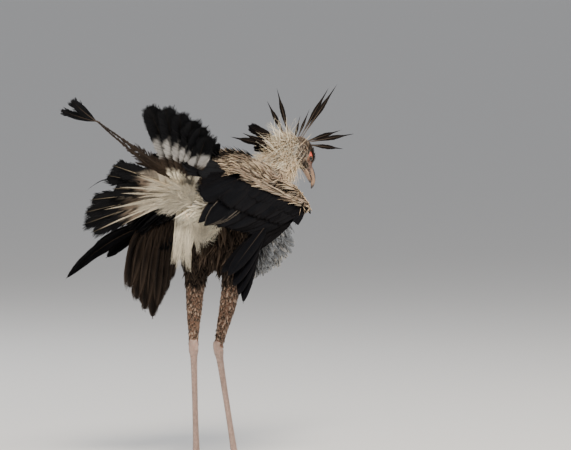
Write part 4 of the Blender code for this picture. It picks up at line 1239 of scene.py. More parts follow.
longPlan = {
    "coat_head": [("bare", bareFace & (eyeGap > 0.0128) & (coralGap > 0.0088) & (faceAlong < 0.034), {}),
                  ("crown", (faceUp > 0.013) & (faceAlong > -0.008) & (faceAlong < 0.026), {
        "spacing": 0.0026, "length": (0.014, 0.024), "width": (0.0026, 0.0040), "rise": 0.85, "ruffle": 0.2,
                      "scatter": 0.3,
        "brow": 1.0})],
    "coat_breast": [("breast", (x > 0.130) & (x < 0.246) & (nz < -0.05), {
        "spacing": 0.0062, "length": (0.050, 0.086), "width": (0.014, 0.021), "rise": 0.78, "ruffle": 0.07,
        "droop": 0.5,
        "aim": (0.0, 0, -1), "scatter": 0.08}),
                    ("breast", (x > 0.130) & (x < 0.215) & (nz < -0.35), {
        "spacing": 0.0056, "length": (0.055, 0.088), "width": (0.013, 0.018), "rise": 1.05, "ruffle": 0.12,
                        "droop": 0.3,
        "aim": (0.10, 0, -1), "scatter": 0.45}),
                    ("breast", (x > 0.200) & (x < 0.250) & (nz < -0.35), {
        "spacing": 0.0064, "length": (0.070, 0.100), "width": (0.014, 0.020), "rise": 0.92, "ruffle": 0.10,
                        "droop": 0.5,
        "aim": (-0.05, 0, -1), "scatter": 0.30, "tip": ("white", 0.5)})],
    "coat_belly": [("belly", (np.abs(y) < 0.060) & (nz < -0.3) & (x > -0.05), {
        "spacing": 0.0060, "length": (0.050, 0.090), "width": (0.006, 0.010), "rise": 1.05, "ruffle": 0.15,
        "droop": 0.3,
        "aim": (-0.2, 0, -1)})],
    "coat_neck": [("hackle", (x > 0.30) & (x < 0.374), {
        "spacing": 0.0048, "plan": "hair", "length": (0.054, 0.088), "width": (0.0010, 0.0017), "rise": 0.58,
        "ruffle": 0.16, "scatter": 0.30, "curl": 0.12, "droop": 0.5, "warm": 0.3}),
                  ("hackle", (x > 0.305) & (x < 0.380) & (nx < 0.10) & (nz > -0.1), {
        "spacing": 0.0096, "length": (0.055, 0.100), "width": (0.0018, 0.0030), "rise": 0.80, "ruffle": 0.22,
                      "scatter": 0.50,
        "curl": 0.10, "droop": 0.45, "warm": 0.0, "aim": (-0.6, 0, 0.8),
                      "mix": [("white", 0.8), ("cream", 0.2)],
        "shaft": 0.9})],
}

for name, zones, slot, nodes, finish in (
        ("coat_back", ("mantle",), "grey_feather", ("torso",), "plume"),
        ("coat_breast", ("breast",), "grey_feather", ("torso",), "plume"),
        ("coat_belly", ("belly",), "black_feather", ("torso",), "plume"),
        ("coat_rump", ("rump",), "tail_feather", ("tail",), "down"),
        ("coat_vent", ("vent",), "tail_feather", ("torso",), "down"),
        ("coat_neck", ("hackle", "throat"), "grey_feather", ("neck",), "plume"),
        ("coat_head", ("crown", "cheek"), "grey_feather", ("head",), "plume"),
        ("coat_legs", ("trouser", "shin"), "thigh_feather", ("thigh_left", "thigh_right"), "plume")):
    bag = newBag()
    for word in zones:
        print(word, layZone(bag, word))
    if name in longPlan:
        for word, where, changes in longPlan[name]:
            print(word, "long", layZone(bag, word, where, **changes))
    keep(pieceFrom(bag, name, finishes[finish]), slot, *nodes)
edgeRow = {"plan": "round", "spacing": 0.0034, "length": (0.012, 0.019), "width": (0.0048, 0.0072),
           "rise": 0.16,
           "scatter": 0.14, "droop": 0.9, "shorter": 0}   # small round feathers close the leading edge
for side in (left, right):
    bag = newBag()
    for word in ("scapular", "lesser", "underarm", "palm", "cap"):
        layZone(bag, word, onSide(side))
    layZone(bag, "lesser", onSide(side) & (nx > 0.10), **edgeRow)
    word = sideWord[side]
    keep(pieceFrom(bag, "coat_arm_" + word, finishes["plume"]), "grey_feather", "wing_%s_shoulder" % word)


# wings: aims of the first and last feather of each group, for the left wing's own coordinates

wingSet = {
    left: {
        "tertial": ((-0.80, 0.30, 0.02), (-0.88, 0.24, -0.30)),
        "secondary": ((-0.90, 0.08, -0.42), (-0.94, 0.06, -0.30)),
        "normals": ((0.02, 1.0, -0.06), (0.30, 0.85, 0.30)),
        # the hanging primaries, from the wrist out: place of the root along the hand, the tip and its sweep
        "tips": [(0.16, 0.080, 0.190, 0.538, 0.00), (0.27, 0.066, 0.190, 0.492, 0.01),
                 (0.38, 0.042, 0.190, 0.454, 0.02),
                 (0.49, 0.018, 0.188, 0.424, 0.03), (0.60, -0.008, 0.187, 0.394, 0.05),
                 (0.71, -0.044, 0.186, 0.416, 0.07),
                 (0.82, -0.082, 0.186, 0.446, 0.09), (0.95, -0.116, 0.186, 0.480, 0.11)],
        "tipWidths": (0.058, 0.070),
        # the outer primaries that reach back past the tail: place of the root, tip, sweep and width
        "outers": [(0.80, -0.115, 0.264, 0.563, 0.03, 0.044), (0.86, -0.166, 0.272, 0.562, 0.06, 0.040),
                   (0.90, -0.163, 0.275, 0.591, 0.05, 0.034), (0.93, -0.250, 0.300, 0.511, 0.10, 0.046)],
    },
    right: {
        "tertial": ((-0.99, 0.02, 0.10), (-0.97, 0.04, -0.20)),
        "secondary": ((-0.90, 0.06, -0.42), (-0.97, 0.03, -0.21)),
        "primary": ((-0.96, -0.03, -0.26), (-0.90, 0.06, -0.42)), "lengths": (0.266, 0.285),
        "normals": ((-0.39, 0.42, 0.82), (-0.39, 0.42, 0.82)),
        "tips": [(0.80, -0.304, -0.276, 0.541, 0.00), (0.86, -0.289, -0.282, 0.511, 0.00),
                 (0.92, -0.273, -0.287, 0.487, 0.01), (0.98, -0.254, -0.290, 0.468, 0.02)],
        "tipWidths": (0.042, 0.036),
    },
}
alulaAims = ((-0.80, 0.10, -0.58), (-0.86, 0.10, -0.50))


def vaneTint(base, edge=None, edgeShare=0.5, edgeFrom=0.80, tip=None, tipShare=0.5, rootFade=None):
    def tintOf(s, u):
        colour = base + 0 * s + 0 * u
        if rootFade is not None:
            colour = mix(rootFade, colour, ease(s, 0.05, 0.45))
        if tip is not None:
            colour = mix(colour, tip, ease(s, 0.70, 1.0) * tipShare)
        if edge is not None:
            colour = mix(colour, edge, ease(np.abs(u), edgeFrom, 1.0) * edgeShare)
        return colour
    return tintOf


blackVane = vaneTint(colours["black"], colours["darkBrown"], 0.10)
# pale-edged black: the pale edge is partly the vane's own edging, partly a painted highlight where light
# catches it
edgedVane = vaneTint(colours["black"], colours["greyBuff"], 0.45, 0.90)
brownVane = vaneTint(colours["soot"] * 1.3, colours["darkBrown"] * 1.2, 0.7, 0.5,
                     rootFade=colours["darkBrown"] * 0.6)


def wingLooks(side):
    aims = wingSet[side]
    shoulder, elbow, wrist, start, tip = wingBones(side)

    def pair(word):
        return tuple(mirrored(unit(aim), side) for aim in aims[word])

    out = outward(side)
    inner, outer = (mirrored(unit(normal), side) for normal in aims["normals"])
    fore = (mix(elbow, wrist, 0.06), mix(elbow, wrist, 0.95))
    dark = {"plan": bluntPlan, "tint": blackVane, "shaftTint": (0.012, 0.010, 0.010), "shaft": 0.0008,
            "web": 0.985,
            "shingle": 0.00012, "streak": 0.06, "lift": -0.004}
    arm = fan(6, (mix(shoulder, elbow, 0.58), mix(shoulder, elbow, 0.98)), pair("tertial"), out,
              (0.205, 0.195),
              (0.052, 0.058), 0.0165, jitter=0.012, **{**dark, "web": 0.80}, barbs=56, ragged=0.22,
              split=0.12, gape=0.10, camber=0.10)
    arm += fan(14, fore, pair("secondary"), out, (0.270, 0.238), (0.050, 0.046), 0.005, pitch=0.0010,
               jitter=0.008,
               **{**dark, "plan": pointPlan, "lift": -0.010}, barbs=60, camber=0.08)
    # five secondaries get pale edges, partly a painted highlight
    for look in arm[6:11]:
        look["tint"] = edgedVane
    arm += fan(14, fore, pair("secondary"), out, (0.150, 0.132), (0.046, 0.043), 0.0085, pitch=0.0008,
               jitter=0.010,
               **dark, barbs=36, camber=0.07)
    arm += fan(17, fore, pair("secondary"), out, (0.078, 0.070), (0.034, 0.032), 0.0105, pitch=0.0006,
               jitter=0.015,
               **dark, barbs=24, camber=0.07)
    roots = (mix(start, tip, 0.16), mix(start, tip, 0.76))
    hanging = {"barbs": 66, "camber": 0.10, "web": 0.97, "tint": brownVane if side == left else blackVane,
               "split": 0.05, "gape": 0.05, "shaftTint": (0.05, 0.038, 0.030), "ragged": 0.03,
               "plan": leafPlan}
    hand = []
    if side == right:
        hand += fan(8, roots, pair("primary"), inner, aims["lengths"], (0.050, 0.044), -0.005, pitch=-0.0013,
                    lift=-0.006, **hanging, outer=0.85)
    for i, (place, *tipPlace, sweep) in enumerate(aims["tips"]):
        t = i / (len(aims["tips"]) - 1)
        layer = (0.0013 * i - 0.005) if side == left else 0.0058 + 0.0013 * i
        hand.append(reaching(mix(start, tip, place) + inner * layer, vec(*tipPlace), inner, sweep * side,
                             width=mix(*aims["tipWidths"], t), **hanging))
    coverts = (pair("primary"),
               roots) if side == right else (tuple(unit(look["aim"]) for look in (hand[0], hand[-1])), roots)
    hand += fan(9, coverts[1], coverts[0], inner, (0.110, 0.130), (0.036, 0.034), 0.0022, pitch=-0.0010,
                **dark, barbs=34, camber=0.10)
    if side == left:
        for i, (place, *tipPlace, sweep, width) in enumerate(aims["outers"]):
            hand.append(reaching(mix(start, tip, place) + outer * 0.0013 * i, vec(*tipPlace), outer,
                                 sweep * side, width=width,
                                 **{**hanging, "barbs": 84, "outer": 0.75, "tint": blackVane}))
    hand += fan(3, (mix(start, tip, 0.04), mix(start, tip, 0.14)),
                tuple(mirrored(unit(a), side) for a in alulaAims), out,
                (0.072, 0.054), (0.019, 0.016), 0.010, pitch=-0.0013, **dark, barbs=24, camber=0.10)
    return arm, hand


for side in (left, right):
    arm, hand = wingLooks(side)
    word = sideWord[side]
    bag = newBag()
    layFan(bag, arm, blackVane)
    keep(pieceFrom(bag, "wing_feathers_" + word, finishes["gloss"]), "black_feather",
         "wing_%s_arm" % word, "wing_%s_shoulder" % word)
    bag = newBag()
    layFan(bag, hand, blackVane)
    keep(pieceFrom(bag, "hand_feathers_" + word, finishes["gloss"]), "black_feather", "wing_%s_hand" % word)


# tail: turn within the fan and length of each feather

tailSet = {
    "fan": [(-54, 0.225), (-48, 0.262), (-42, 0.295), (-36, 0.335), (-30, 0.378), (-24, 0.412), (6, 0.298),
            (13, 0.290), (22, 0.242), (31, 0.295), (40, 0.300), (49, 0.300), (58, 0.278)],
    "under": [(-46, 0.070), (-34, 0.075), (-20, 0.085), (-6, 0.115), (10, 0.110), (26, 0.110), (42, 0.112),
              (56, 0.105)],
    "pale": [(4, 0.215), (9, 0.175), (13, 0.240), (21, 0.165), (25, 0.225), (31, 0.190), (37, 0.255),
             (44, 0.180),
             (50, 0.262), (56, 0.200)],
    "meet": (-0.505, 0.0048, 0.9508), "brushes": [(-0.610, 0.0449, 0.9823), (-0.605, 0.0131, 1.0094)],
}


def upperTailTint(s, u):
    # white base, dark brown band, pale grey band, black end
    s = s + 0.02 * np.abs(u)
    colour = mix(colours["white"], colours["darkBrown"], ease(s, 0.30, 0.33))
    colour = mix(colour, colours["paleGrey"] * 0.80, ease(s, 0.46, 0.49))
    return mix(colour, colours["black"], ease(s, 0.62, 0.67))


def lowerTailTint(s, u):
    colour = mix(colours["white"], colours["greyBuff"], ease(s, 0.12, 0.36) * (0.35 + 0.5 * np.abs(u)))
    colour = mix(colour, colours["midBrown"], ease(s, 0.40, 0.50) * (0.50 + 0.40 * (u > 0)))
    return mix(colour, colours["black"], ease(s + 0.10 * np.abs(u), 0.60, 0.71))


def tailAim(turn):
    angle = math.radians(turn)
    return tailPlan["axis"] * math.cos(angle) + tailEdge * math.sin(angle)


bag, looks = newBag(), []
for i, (turn, length) in enumerate(tailSet["fan"]):
    upper = turn < 0
    looks.append({"root": tailPlan["root"] + tailBack * (i - 6) * 0.0014, "aim": tailAim(turn),
                  "normal": tailBack,
                  "length": length, "width": 0.070 if upper else 0.064, "plan": bluntPlan, "lift": -0.012,
                  "barbs": 96,
                  "ragged": 0.34, "split": 0.13, "gape": 0.10, "shingle": 0.0006, "camber": 0.08,
                  "shaft": 0.0012 if upper else 0.0032, "web": 0.80, "steps": 34,
                  "tint": upperTailTint if upper else lowerTailTint,
                  "shaftTint": (0.10, 0.075, 0.055) if upper else (0.60, 0.50, 0.36),
                  "shaftFade": 0.2 if upper else 0.35})
# narrow pale feathers that lie on the lower half of the fan
for turn, length in tailSet["pale"]:
    looks.append({"root": tailPlan["root"] - tailBack * 0.0125, "aim": tailAim(turn + rng.normal(0, 1.2)),
                  "normal": tailBack,
                  "length": length, "width": rng.uniform(0.005, 0.009), "plan": pointPlan, "lift": -0.013,
                  "sweep": rng.normal(0, 0.008), "barbs": 36, "ragged": 0.4, "split": 0.2, "gape": 0.12,
                  "shaft": 0.0018,
                  "web": 0.75, "tint": vaneTint(colours["white"] * 0.62, tip=colours["greyBuff"],
                                                tipShare=0.8),
                  "shaftTint": (0.62, 0.52, 0.38), "shaftFade": 0.6})
# the two long central feathers: stems that run together, then a brush each
stem = {"normal": (-0.82, -0.57, 0.0), "shaft": 0.0015, "shaftTint": (0.06, 0.045, 0.035), "slant": 0.42}
for i, brush in enumerate(tailSet["brushes"]):
    looks.append(reaching(tailPlan["root"] + tailBack * (0.0115 + 0.0022 * i)
                          + tailEdge * 0.010 * (1 - 2 * i),
                          tailSet["meet"], sweep=0.008 * (1 - 2 * i), width=0.058, barbs=130, ragged=0.7,
                          split=0.25,
                          gape=0.22, web=0.3, plan=[(0, 0.2), (0.12, 0.9), (0.35, 0.80), (0.55, 0.40),
                                                    (0.75, 0.14), (1, 0.08)],
                          tint=vaneTint(colours["darkBrown"] * 0.7, rootFade=colours["midBrown"]), **stem))
    looks.append(reaching(mix(vec(*tailSet["meet"]), vec(*brush), -0.10), brush, sweep=0.012,
                          width=0.034 - 0.008 * (1 - i),
                          barbs=70, ragged=0.45, split=0.2, gape=0.16, web=0.75,
                          plan=[(0, 0.06), (0.15, 0.10), (0.30, 0.60), (0.6, 1.0), (0.85, 0.8), (1, 0.15)],
                          tint=vaneTint(colours["black"]), **stem))
layFan(bag, looks, blackVane)
keep(pieceFrom(bag, "tail_feathers", finishes["plume"]), "tail_feather", "tail")

# the loose white coverts round the root of the tail, above and below it
lockPlan = {"strands": 130, "spread": 0.015, "width": (0.0008, 0.0016), "rows": 10, "wave": 0.0056,
            "closing": 0.78}
bag = newBag()
coverts = [(turn, length, -0.0150, -0.020) for turn, length in tailSet["under"]]
coverts += [(turn + 7, length * 0.8, -0.0200, -0.030) for turn, length in tailSet["under"]]
coverts += [(turn + 3, length * 0.9, 0.0150, 0.016) for turn, length in tailSet["under"]]
for i, (turn, length, layer, lift) in enumerate(coverts):
    look = {**lockPlan, "root": tailPlan["root"] + tailBack * layer - tailAim(turn) * 0.004,
            "aim": tailAim(turn),
            "normal": tailBack, "length": length, "lift": lift * 0.6, "sweep": rng.normal(0, 0.008),
            "strands": 100,
            "spread": 0.019, "closing": 0.30, "wave": 0.0035, "width": (0.0012, 0.0024)}
    layLock(bag, look, vaneTint(colours["white"], tip=colours["paleGrey"], tipShare=0.25),
            bakeCell(i, len(coverts)))
keep(pieceFrom(bag, "tail_coverts", finishes["down"]), "tail_feather", "tail")


# loose plumes of the vent: locks of long strands that leave one place, follow one curve and meet in a point

plumeSet = [(-0.088, 0.026, 0.10, 0.165), (-0.080, 0.012, -0.06, 0.185), (-0.074, -0.004, 0.05, 0.170),
            (-0.066, -0.018, -0.16, 0.118), (-0.060, -0.004, -0.30, 0.105), (-0.084, 0.018, 0.28, 0.110),
            (-0.084, 0.020, 0.02, 0.178), (-0.070, -0.010, -0.06, 0.135)]

bag = newBag()
for i, (px, py, lean, length) in enumerate(plumeSet):
    look = {"root": (px, py, 0.712), "aim": unit([-0.12 - 0.03 * (i % 3), lean * 0.6, -1]),
            "normal": (-0.82, -0.57, 0),
            "length": length, "lift": 0.012, "sweep": 0.01 * (-1) ** i, **lockPlan}
    layLock(bag, look, vaneTint(colours["white"]), bakeCell(i, len(plumeSet)))
keep(pieceFrom(bag, "vent_plumes", finishes["down"]), "tail_feather", "torso")


# strays: short black feathers along the back and on the rump, long ones that show over the shoulders, and a
# curled strand at the tail

strayPlan = {
    "ridge": [(0.000, 0.046), (0.012, 0.040), (0.024, 0.046), (0.036, 0.038), (0.048, 0.046), (0.060, 0.038),
              (0.072, 0.044),
              (0.086, 0.038), (0.100, 0.042), (0.116, 0.038), (0.132, 0.040), (0.148, 0.034)],
    "scapulars": [((0.010, 0.052, 0.800), (-0.212, 0.060, 0.826)),
                  ((0.000, 0.062, 0.796), (-0.200, 0.062, 0.812)),
                  ((0.006, 0.042, 0.806), (-0.176, 0.050, 0.842)),
                  ((-0.006, 0.075, 0.796), (-0.150, 0.072, 0.800)),
                  ((0.004, 0.046, 0.812), (-0.197, 0.056, 0.845)),
                  ((0.004, 0.048, 0.806), (-0.206, 0.058, 0.836))],
    "rise": 0.011, "rump": [(-0.004, 0.044, -0.60, -0.25), (-0.014, 0.054, -0.40, 0.10),
                            (-0.024, 0.044, -0.80, 0.15)],
}
bag, looks = newBag(), []


def onBack(px, py):
    near = torso & (np.abs(x - px) < 0.008) & (np.abs(y - py) < 0.010)
    return (px, py, skinPoints[near, 2].max() + strayPlan["rise"] - 0.05 * px)


for i, (px, length) in enumerate(strayPlan["ridge"]):
    looks.append({"root": onBack(px, -0.030 - 0.05 * px), "aim": unit([-0.85, -0.15 + 0.1 * (i % 2), 0.34]),
                  "normal": (0.3, -0.6, 0.7), "length": length, "width": 0.020, "plan": bluntPlan,
                  "barbs": 20,
                  "ragged": 0.4, "shaft": 0.0006, "shaftTint": (0.02, 0.02, 0.02)})
for px, length, lean, turn in strayPlan["rump"]:
    looks.append({"root": onBack(px, -0.024), "aim": unit([lean, turn, 0.9]),
                  "normal": unit([-0.6, -0.6, 0.3 + turn]),
                  "length": length, "width": 0.026, "plan": bluntPlan, "barbs": 26, "ragged": 0.45,
                  "sweep": 0.01,
                  "shaft": 0.0006, "shaftTint": (0.02, 0.02, 0.02)})
for root, tipPlace in strayPlan["scapulars"]:
    for side in (left, right):
        looks.append(reaching(mirrored(root, side), mirrored(tipPlace, side), outward(side), 0.01 * side,
                              width=0.042,
                              plan=bluntPlan, barbs=52, ragged=0.35, split=0.12, gape=0.12,
                              shaftTint=(0.02, 0.02, 0.02)))
layFan(bag, looks, blackVane)
curl = reaching(tailPlan["root"] + tailAim(17.5) * 0.270, tailPlan["root"] + tailAim(27) * 0.316, tailBack,
                0.050)
layLock(bag, {**curl, **lockPlan, "strands": 14, "spread": 0.0013, "wave": 0.0005},
        vaneTint(colours["black"]),
        (0.9, 0.9, 0.08, 0.08))
keep(pieceFrom(bag, "stray_feathers", finishes["plume"]), "black_feather", "torso")


# crest: place from the crown to the nape, turn, rise, length, width

crestSet = [
    (0.00, -30, -7, 0.145, 0.014), (0.05, -25, 8, 0.188, 0.014), (0.12, -20, 14, 0.158, 0.014),
    (0.10, -16, 49, 0.222, 0.014), (0.20, -6, 48, 0.215, 0.014), (0.28, 12, 42, 0.150, 0.008),
    (0.36, 26, 32, 0.150, 0.008), (0.44, 66, 64, 0.185, 0.014), (0.52, 88, 58, 0.160, 0.014),
    (0.62, 126, 30, 0.142, 0.030), (0.72, 158, 12, 0.205, 0.019), (0.82, 142, 6, 0.108, 0.024),
    (0.92, 166, 20, 0.178, 0.015)]
lobePlan = [(0.0, 0.16), (0.30, 0.16), (0.44, 0.62), (0.58, 0.96), (0.72, 1.0), (0.84, 0.74), (0.92, 0.36),
            (1.0, 0.05)]
crestPlan = [(0.0, 0.16), (0.32, 0.14), (0.46, 0.50), (0.60, 1.0), (0.72, 0.74), (0.85, 0.30), (1.0, 0.04)]
bag, looks = newBag(), []
for place, turn, rise, length, width in crestSet:
    turn, rise = math.radians(turn), math.radians(rise)
    aim = vec(math.cos(rise) * math.cos(turn), math.cos(rise) * math.sin(turn), math.sin(rise))
    looks.append({"root": mix(vec(0.412, -0.006, 0.862), vec(0.338, 0, 0.842), place) - aim * 0.012,
                  "aim": aim,
                  "normal": (-0.82, -0.57, 0), "length": length, "width": width, "plan": crestPlan,
                  "lift": 0.01,
                  "barbs": 84, "ragged": 0.10, "split": 0.03, "gape": 0.03, "slant": 0.30, "camber": 0.25,
                  "shaft": 0.0011, "web": 0.92, "tint": vaneTint(colours["soot"], tip=colours["black"],
                                                                 tipShare=1.0,
                                                   rootFade=colours["midBrown"]),
                  "shaftTint": (0.12, 0.09, 0.07)})
    if width > 0.02:
        looks[-1].update({"plan": lobePlan, "slant": 0.42, "bare": 0.25, "web": 0.96, "barbs": 60})
layFan(bag, looks, blackVane)
keep(pieceFrom(bag, "crest", finishes["gloss"]), "black_feather", "head")


# bill

billPlan = {
    "upper": [(0.026, -0.001, 0.0126, 0.0135), (0.033, -0.001, 0.0118, 0.0125),
              (0.046, 0.002, 0.0105, 0.0112),
              (0.060, 0.001, 0.0088, 0.0100), (0.073, -0.004, 0.0066, 0.0080),
              (0.083, -0.012, 0.0042, 0.0055),
              (0.088, -0.021, 0.0015, 0.0020)],
    "lower": [(0.024, -0.0135, 0.0104, 0.0056), (0.031, -0.014, 0.0100, 0.0055),
              (0.046, -0.0135, 0.0085, 0.0048),
              (0.060, -0.0135, 0.0062, 0.0040), (0.072, -0.0145, 0.0030, 0.0022)],
    "nostril": (0.044, 0.0105, 0.0052), "cereEnd": 0.040,
}


def ridged(c, s, ring):
    # a narrower ridge on top than at the cutting edge
    return c * (1 - 0.30 * np.clip(s, 0, 1) ** 1.5), s * (1 + 0.04 * (1 - np.abs(c)))


upperBill = tube("bill_upper_horn", finerRows(headRows(billPlan["upper"]), 6), 40, headLeft, ridged)
lowerBill = tube("bill_lower_horn", finerRows(headRows(billPlan["lower"]), 5), 28, headLeft)
for bill in (upperBill, lowerBill):
    points = getPoints(bill.data)
    local = points - headPlan["centre"]
    along, sideways, up = local @ headAhead, local @ headLeft, local @ headUp
    if bill is upperBill:
        for side in (left, right):
            a, b, c = billPlan["nostril"]
            gap = np.hypot((along - a) / 2.2, (up - c) / 1.0) / 0.0011
            dent = np.exp(-gap ** 2) * (sideways * side > 0.004)
            points -= headLeft * side * (dent * 0.0022)[:, None]
        step = ease(along, billPlan["cereEnd"] - 0.001, billPlan["cereEnd"] + 0.001)
        points = points + unit(headLeft * sideways[:, None]
                               + headUp * (up - 0.0)[:, None]) * ((1 - step) * 0.0005)[:, None]
        setPoints(bill.data, points)
        dark = ease(up - 0.42 * np.abs(sideways), -0.0034 - 0.15 * (along - 0.05),
                    0.0020 - 0.15 * (along - 0.05))
        dark = np.maximum(dark, ease(along, 0.074, 0.086))
        # painted shade: the upper bill's cutting edge darkened as the line between the mandibles
        dark = np.maximum(dark, 0.95 * ease(-up - 0.11 * (along - 0.04), 0.0032,
                                            0.0060) * ease(along, 0.026, 0.036)
                          * ease(-along, -0.074, -0.060))
        tint = mix(colours["hornPink"], colours["hornDark"], dark[:, None])
        cere = 1 - ease(along, billPlan["cereEnd"] - 0.004, billPlan["cereEnd"] + 0.002)
        tint = mix(tint, colours["lore"] * 0.8, (cere * 0.8)[:, None])
        # painted shade: the nostril darkened nearly to black
        tint = mix(tint, colours["black"],
                   (np.exp(-(np.hypot((along - 0.044) / 2.2, up - 0.0052) / 0.0012) ** 2)
                   * (np.abs(sideways) > 0.004))[:, None] * 0.9)
    else:
        tint = mix(colours["hornPink"] * 0.9, colours["hornDark"], ease(along, 0.056, 0.070)[:, None])
        # painted shade: the lower bill's top edge darkened as the line between the mandibles
        tint = mix(tint, colours["hornDark"], (0.85 * ease(up, -0.0128, -0.0108))[:, None])
    paint(bill, tint, finishes["bill"])
keep(upperBill, "bill_horn", "bill_upper")
keep(lowerBill, "bill_horn", "bill_lower")


# eyes, with lids and lashes

# the opening's half width and its heights above and below the pupil, then the lids' thickness
eyePlan = {"pupil": 0.52, "iris": 0.92, "wide": 0.0074, "above": 0.0056, "below": 0.0060,
           "lidHigh": 0.00135, "lidLow": 0.00085, "lashes": 13}
lidRings = []
lashRoots = {"root": [], "normal": [], "aim": [], "owner": [], "chart": []}
for side in (left, right):
    gaze = eyeGaze[side]
    deselectAll()
    bpy.ops.mesh.primitive_uv_sphere_add(segments=64, ring_count=48, radius=headPlan["eyeRadius"])
    eye = bpy.context.object
    eye.name = "eyeball_" + sideWord[side]
    points = getPoints(eye.data)
    wide, high = across(gaze, headAhead), np.cross(gaze, across(gaze, headAhead))
    bulge = 1 + 0.05 * np.exp(-((np.arccos(np.clip(points[:, 2] / headPlan["eyeRadius"], -1, 1))
                                 / 0.55) ** 2))
    turned = (points[:, 0:1] * wide + points[:, 1:2] * high + points[:, 2:3] * gaze) * bulge[:, None]
    setPoints(eye.data, turned + eyeCentres[side])
    opening = np.arccos(np.clip(points[:, 2] / headPlan["eyeRadius"], -1, 1))
    swirl = np.arctan2(points[:, 1], points[:, 0])
    iris = vec(0.045, 0.026, 0.014) * (1 + 0.35 * np.sin(swirl * 23) * np.sin(swirl * 9 + 1))[:, None]
    pupilEdge, irisEdge = eyePlan["pupil"], eyePlan["iris"]
    tint = mix(vec(0.002, 0.002, 0.002), iris, ease(opening, pupilEdge - 0.03, pupilEdge + 0.03)[:, None])
    tint = mix(tint, vec(0.012, 0.009, 0.007), ease(opening, irisEdge - 0.05, irisEdge + 0.05)[:, None])
    paint(eye, tint, finishes["eye"])
    keep(eye, "eye_glass", "eye_" + sideWord[side])
    deselectAll()
    bpy.ops.mesh.primitive_torus_add(major_segments=64, minor_segments=10, major_radius=1.0, minor_radius=0.2)
    lid = bpy.context.object
    points = getPoints(lid.data)
    around = np.arctan2(points[:, 1], points[:, 0])
    out, lift = np.hypot(points[:, 0], points[:, 1]) - 1, points[:, 2]
    over = across(gaze, headUp)
    ahead = np.cross(over, gaze) if np.cross(over, gaze) @ headAhead > 0 else np.cross(gaze, over)
    h = np.cos(around) * eyePlan["wide"]
    k = np.sin(around) * np.where(np.sin(around) > 0, eyePlan["above"], eyePlan["below"])
    h = h * (1 + 0.10 * np.abs(np.cos(around)) ** 6)
    thick = mix(eyePlan["lidLow"], eyePlan["lidHigh"],
                ease(np.sin(around), -0.2, 0.7)) * (1 - 0.35 * np.abs(np.cos(around)) ** 4)
    radial = unit(h[:, None] * ahead + k[:, None] * over)
    depth = np.sqrt(np.maximum(headPlan["eyeRadius"] ** 2 - h * h - k * k, 1e-8))
    middle = eyeCentres[side] + h[:, None] * ahead + k[:, None] * over
    middle = middle + gaze * (depth + thick * 0.55)[:, None]
    setPoints(lid.data, middle + (radial * (out / 0.2)[:, None] + gaze * (lift / 0.2)[:, None])
              * thick[:, None])
    lidRings.append(lid)
    for t in np.linspace(0.28, 2.55, eyePlan["lashes"]):
        h, k = math.cos(t) * 0.0076, math.sin(t) * 0.0062
        away = math.sqrt(headPlan["eyeRadius"] ** 2 - h * h - k * k) + 0.0016
        spot = eyeCentres[side] + ahead * h + over * k + gaze * away
        lashRoots["root"].append(spot)
        lashRoots["normal"].append(unit(over * 0.9 - gaze * 0.3))
        lashRoots["aim"].append(unit(gaze * 0.8 + ahead * (0.25 * math.cos(t) + 0.15) + over * 0.45))
        lashRoots["owner"].append(0)
        lashRoots["chart"].append((0.2 + 0.4 * (side > 0) + 0.02 * t, 0.5))
pick(*lidRings)
bpy.ops.object.join()
lids = bpy.context.object
lids.name = "eyelids"
bpy.ops.object.mode_set(mode="EDIT")
bpy.ops.mesh.select_all(action="SELECT")
bpy.ops.mesh.normals_make_consistent(inside=False)
bpy.ops.object.mode_set(mode="OBJECT")
points = getPoints(lids.data)
# the lids: orange skin dimmed to two fifths and mixed with dark brown, partly painted shade round the eye
paint(lids, mix(colours["orange"] * 0.40, colours["darkBrown"] * 0.7,
                (0.65 + 0.25 * ripple(points, 0.004, 4))[:, None]),
      finishes["skin"])
keep(lids, "leg_skin", "head")
lashes = {key: np.array(value) for key, value in lashRoots.items()}
lashes["aim"] = across(lashes["normal"], lashes["aim"])
bag = newBag()
layTufts(bag, lashes, {"plan": "hair", "length": (0.0075, 0.0105), "width": (0.0005, 0.0007), "rise": 0.5,
                       "scatter": 0.08,
                       "droop": -0.4, "sink": 0.0}, lambda roots, s, u: np.zeros((len(roots["root"]), 1, 3))
         + colours["black"]
         + 0 * s + 0 * u)
keep(pieceFrom(bag, "lashes", finishes["plume"]), "black_feather", "head")


# claws

for side in (left, right):
    parts = []
    for word, turn, length, wide in toePlan:
        rows, direction, end = toeRows(side, turn, length, wide)
        root = end - direction * 0.004
        root[2] = 0.0080
        rows = [(root - direction * 0.002, 0.0032, 0.0038), (root, 0.0036, 0.0042),
                (root + direction * clawLength * 0.4 + vec(0, 0, 0.001), 0.0030, 0.0038),
                (root + direction * clawLength * 0.78 - vec(0, 0, 0.0018), 0.0019, 0.0024),
                (root + direction * clawLength - vec(0, 0, 0.0056), 0.0005, 0.0006)]
        parts.append(tube("claw", finerRows(rows, 6), 20, np.cross(vec(0, 0, 1), direction)))
    pick(*parts)
    bpy.ops.object.join()
    claws = bpy.context.object
    claws.name = "claws_" + sideWord[side]
    points = getPoints(claws.data)
    paint(claws, mix(colours["hornDark"] * 1.6, colours["hornDark"] * 0.7,
                     (0.5 + 0.5 * ripple(points, 0.012, 6))[:, None]),
          finishes["claw"])
    keep(claws, "claw_horn", *["claw_%s_%s" % (sideWord[side], toe[0]) for toe in toePlan])


# scutes: domed plates laid on the shanks and toes, each by its place along the tube and its angle round it

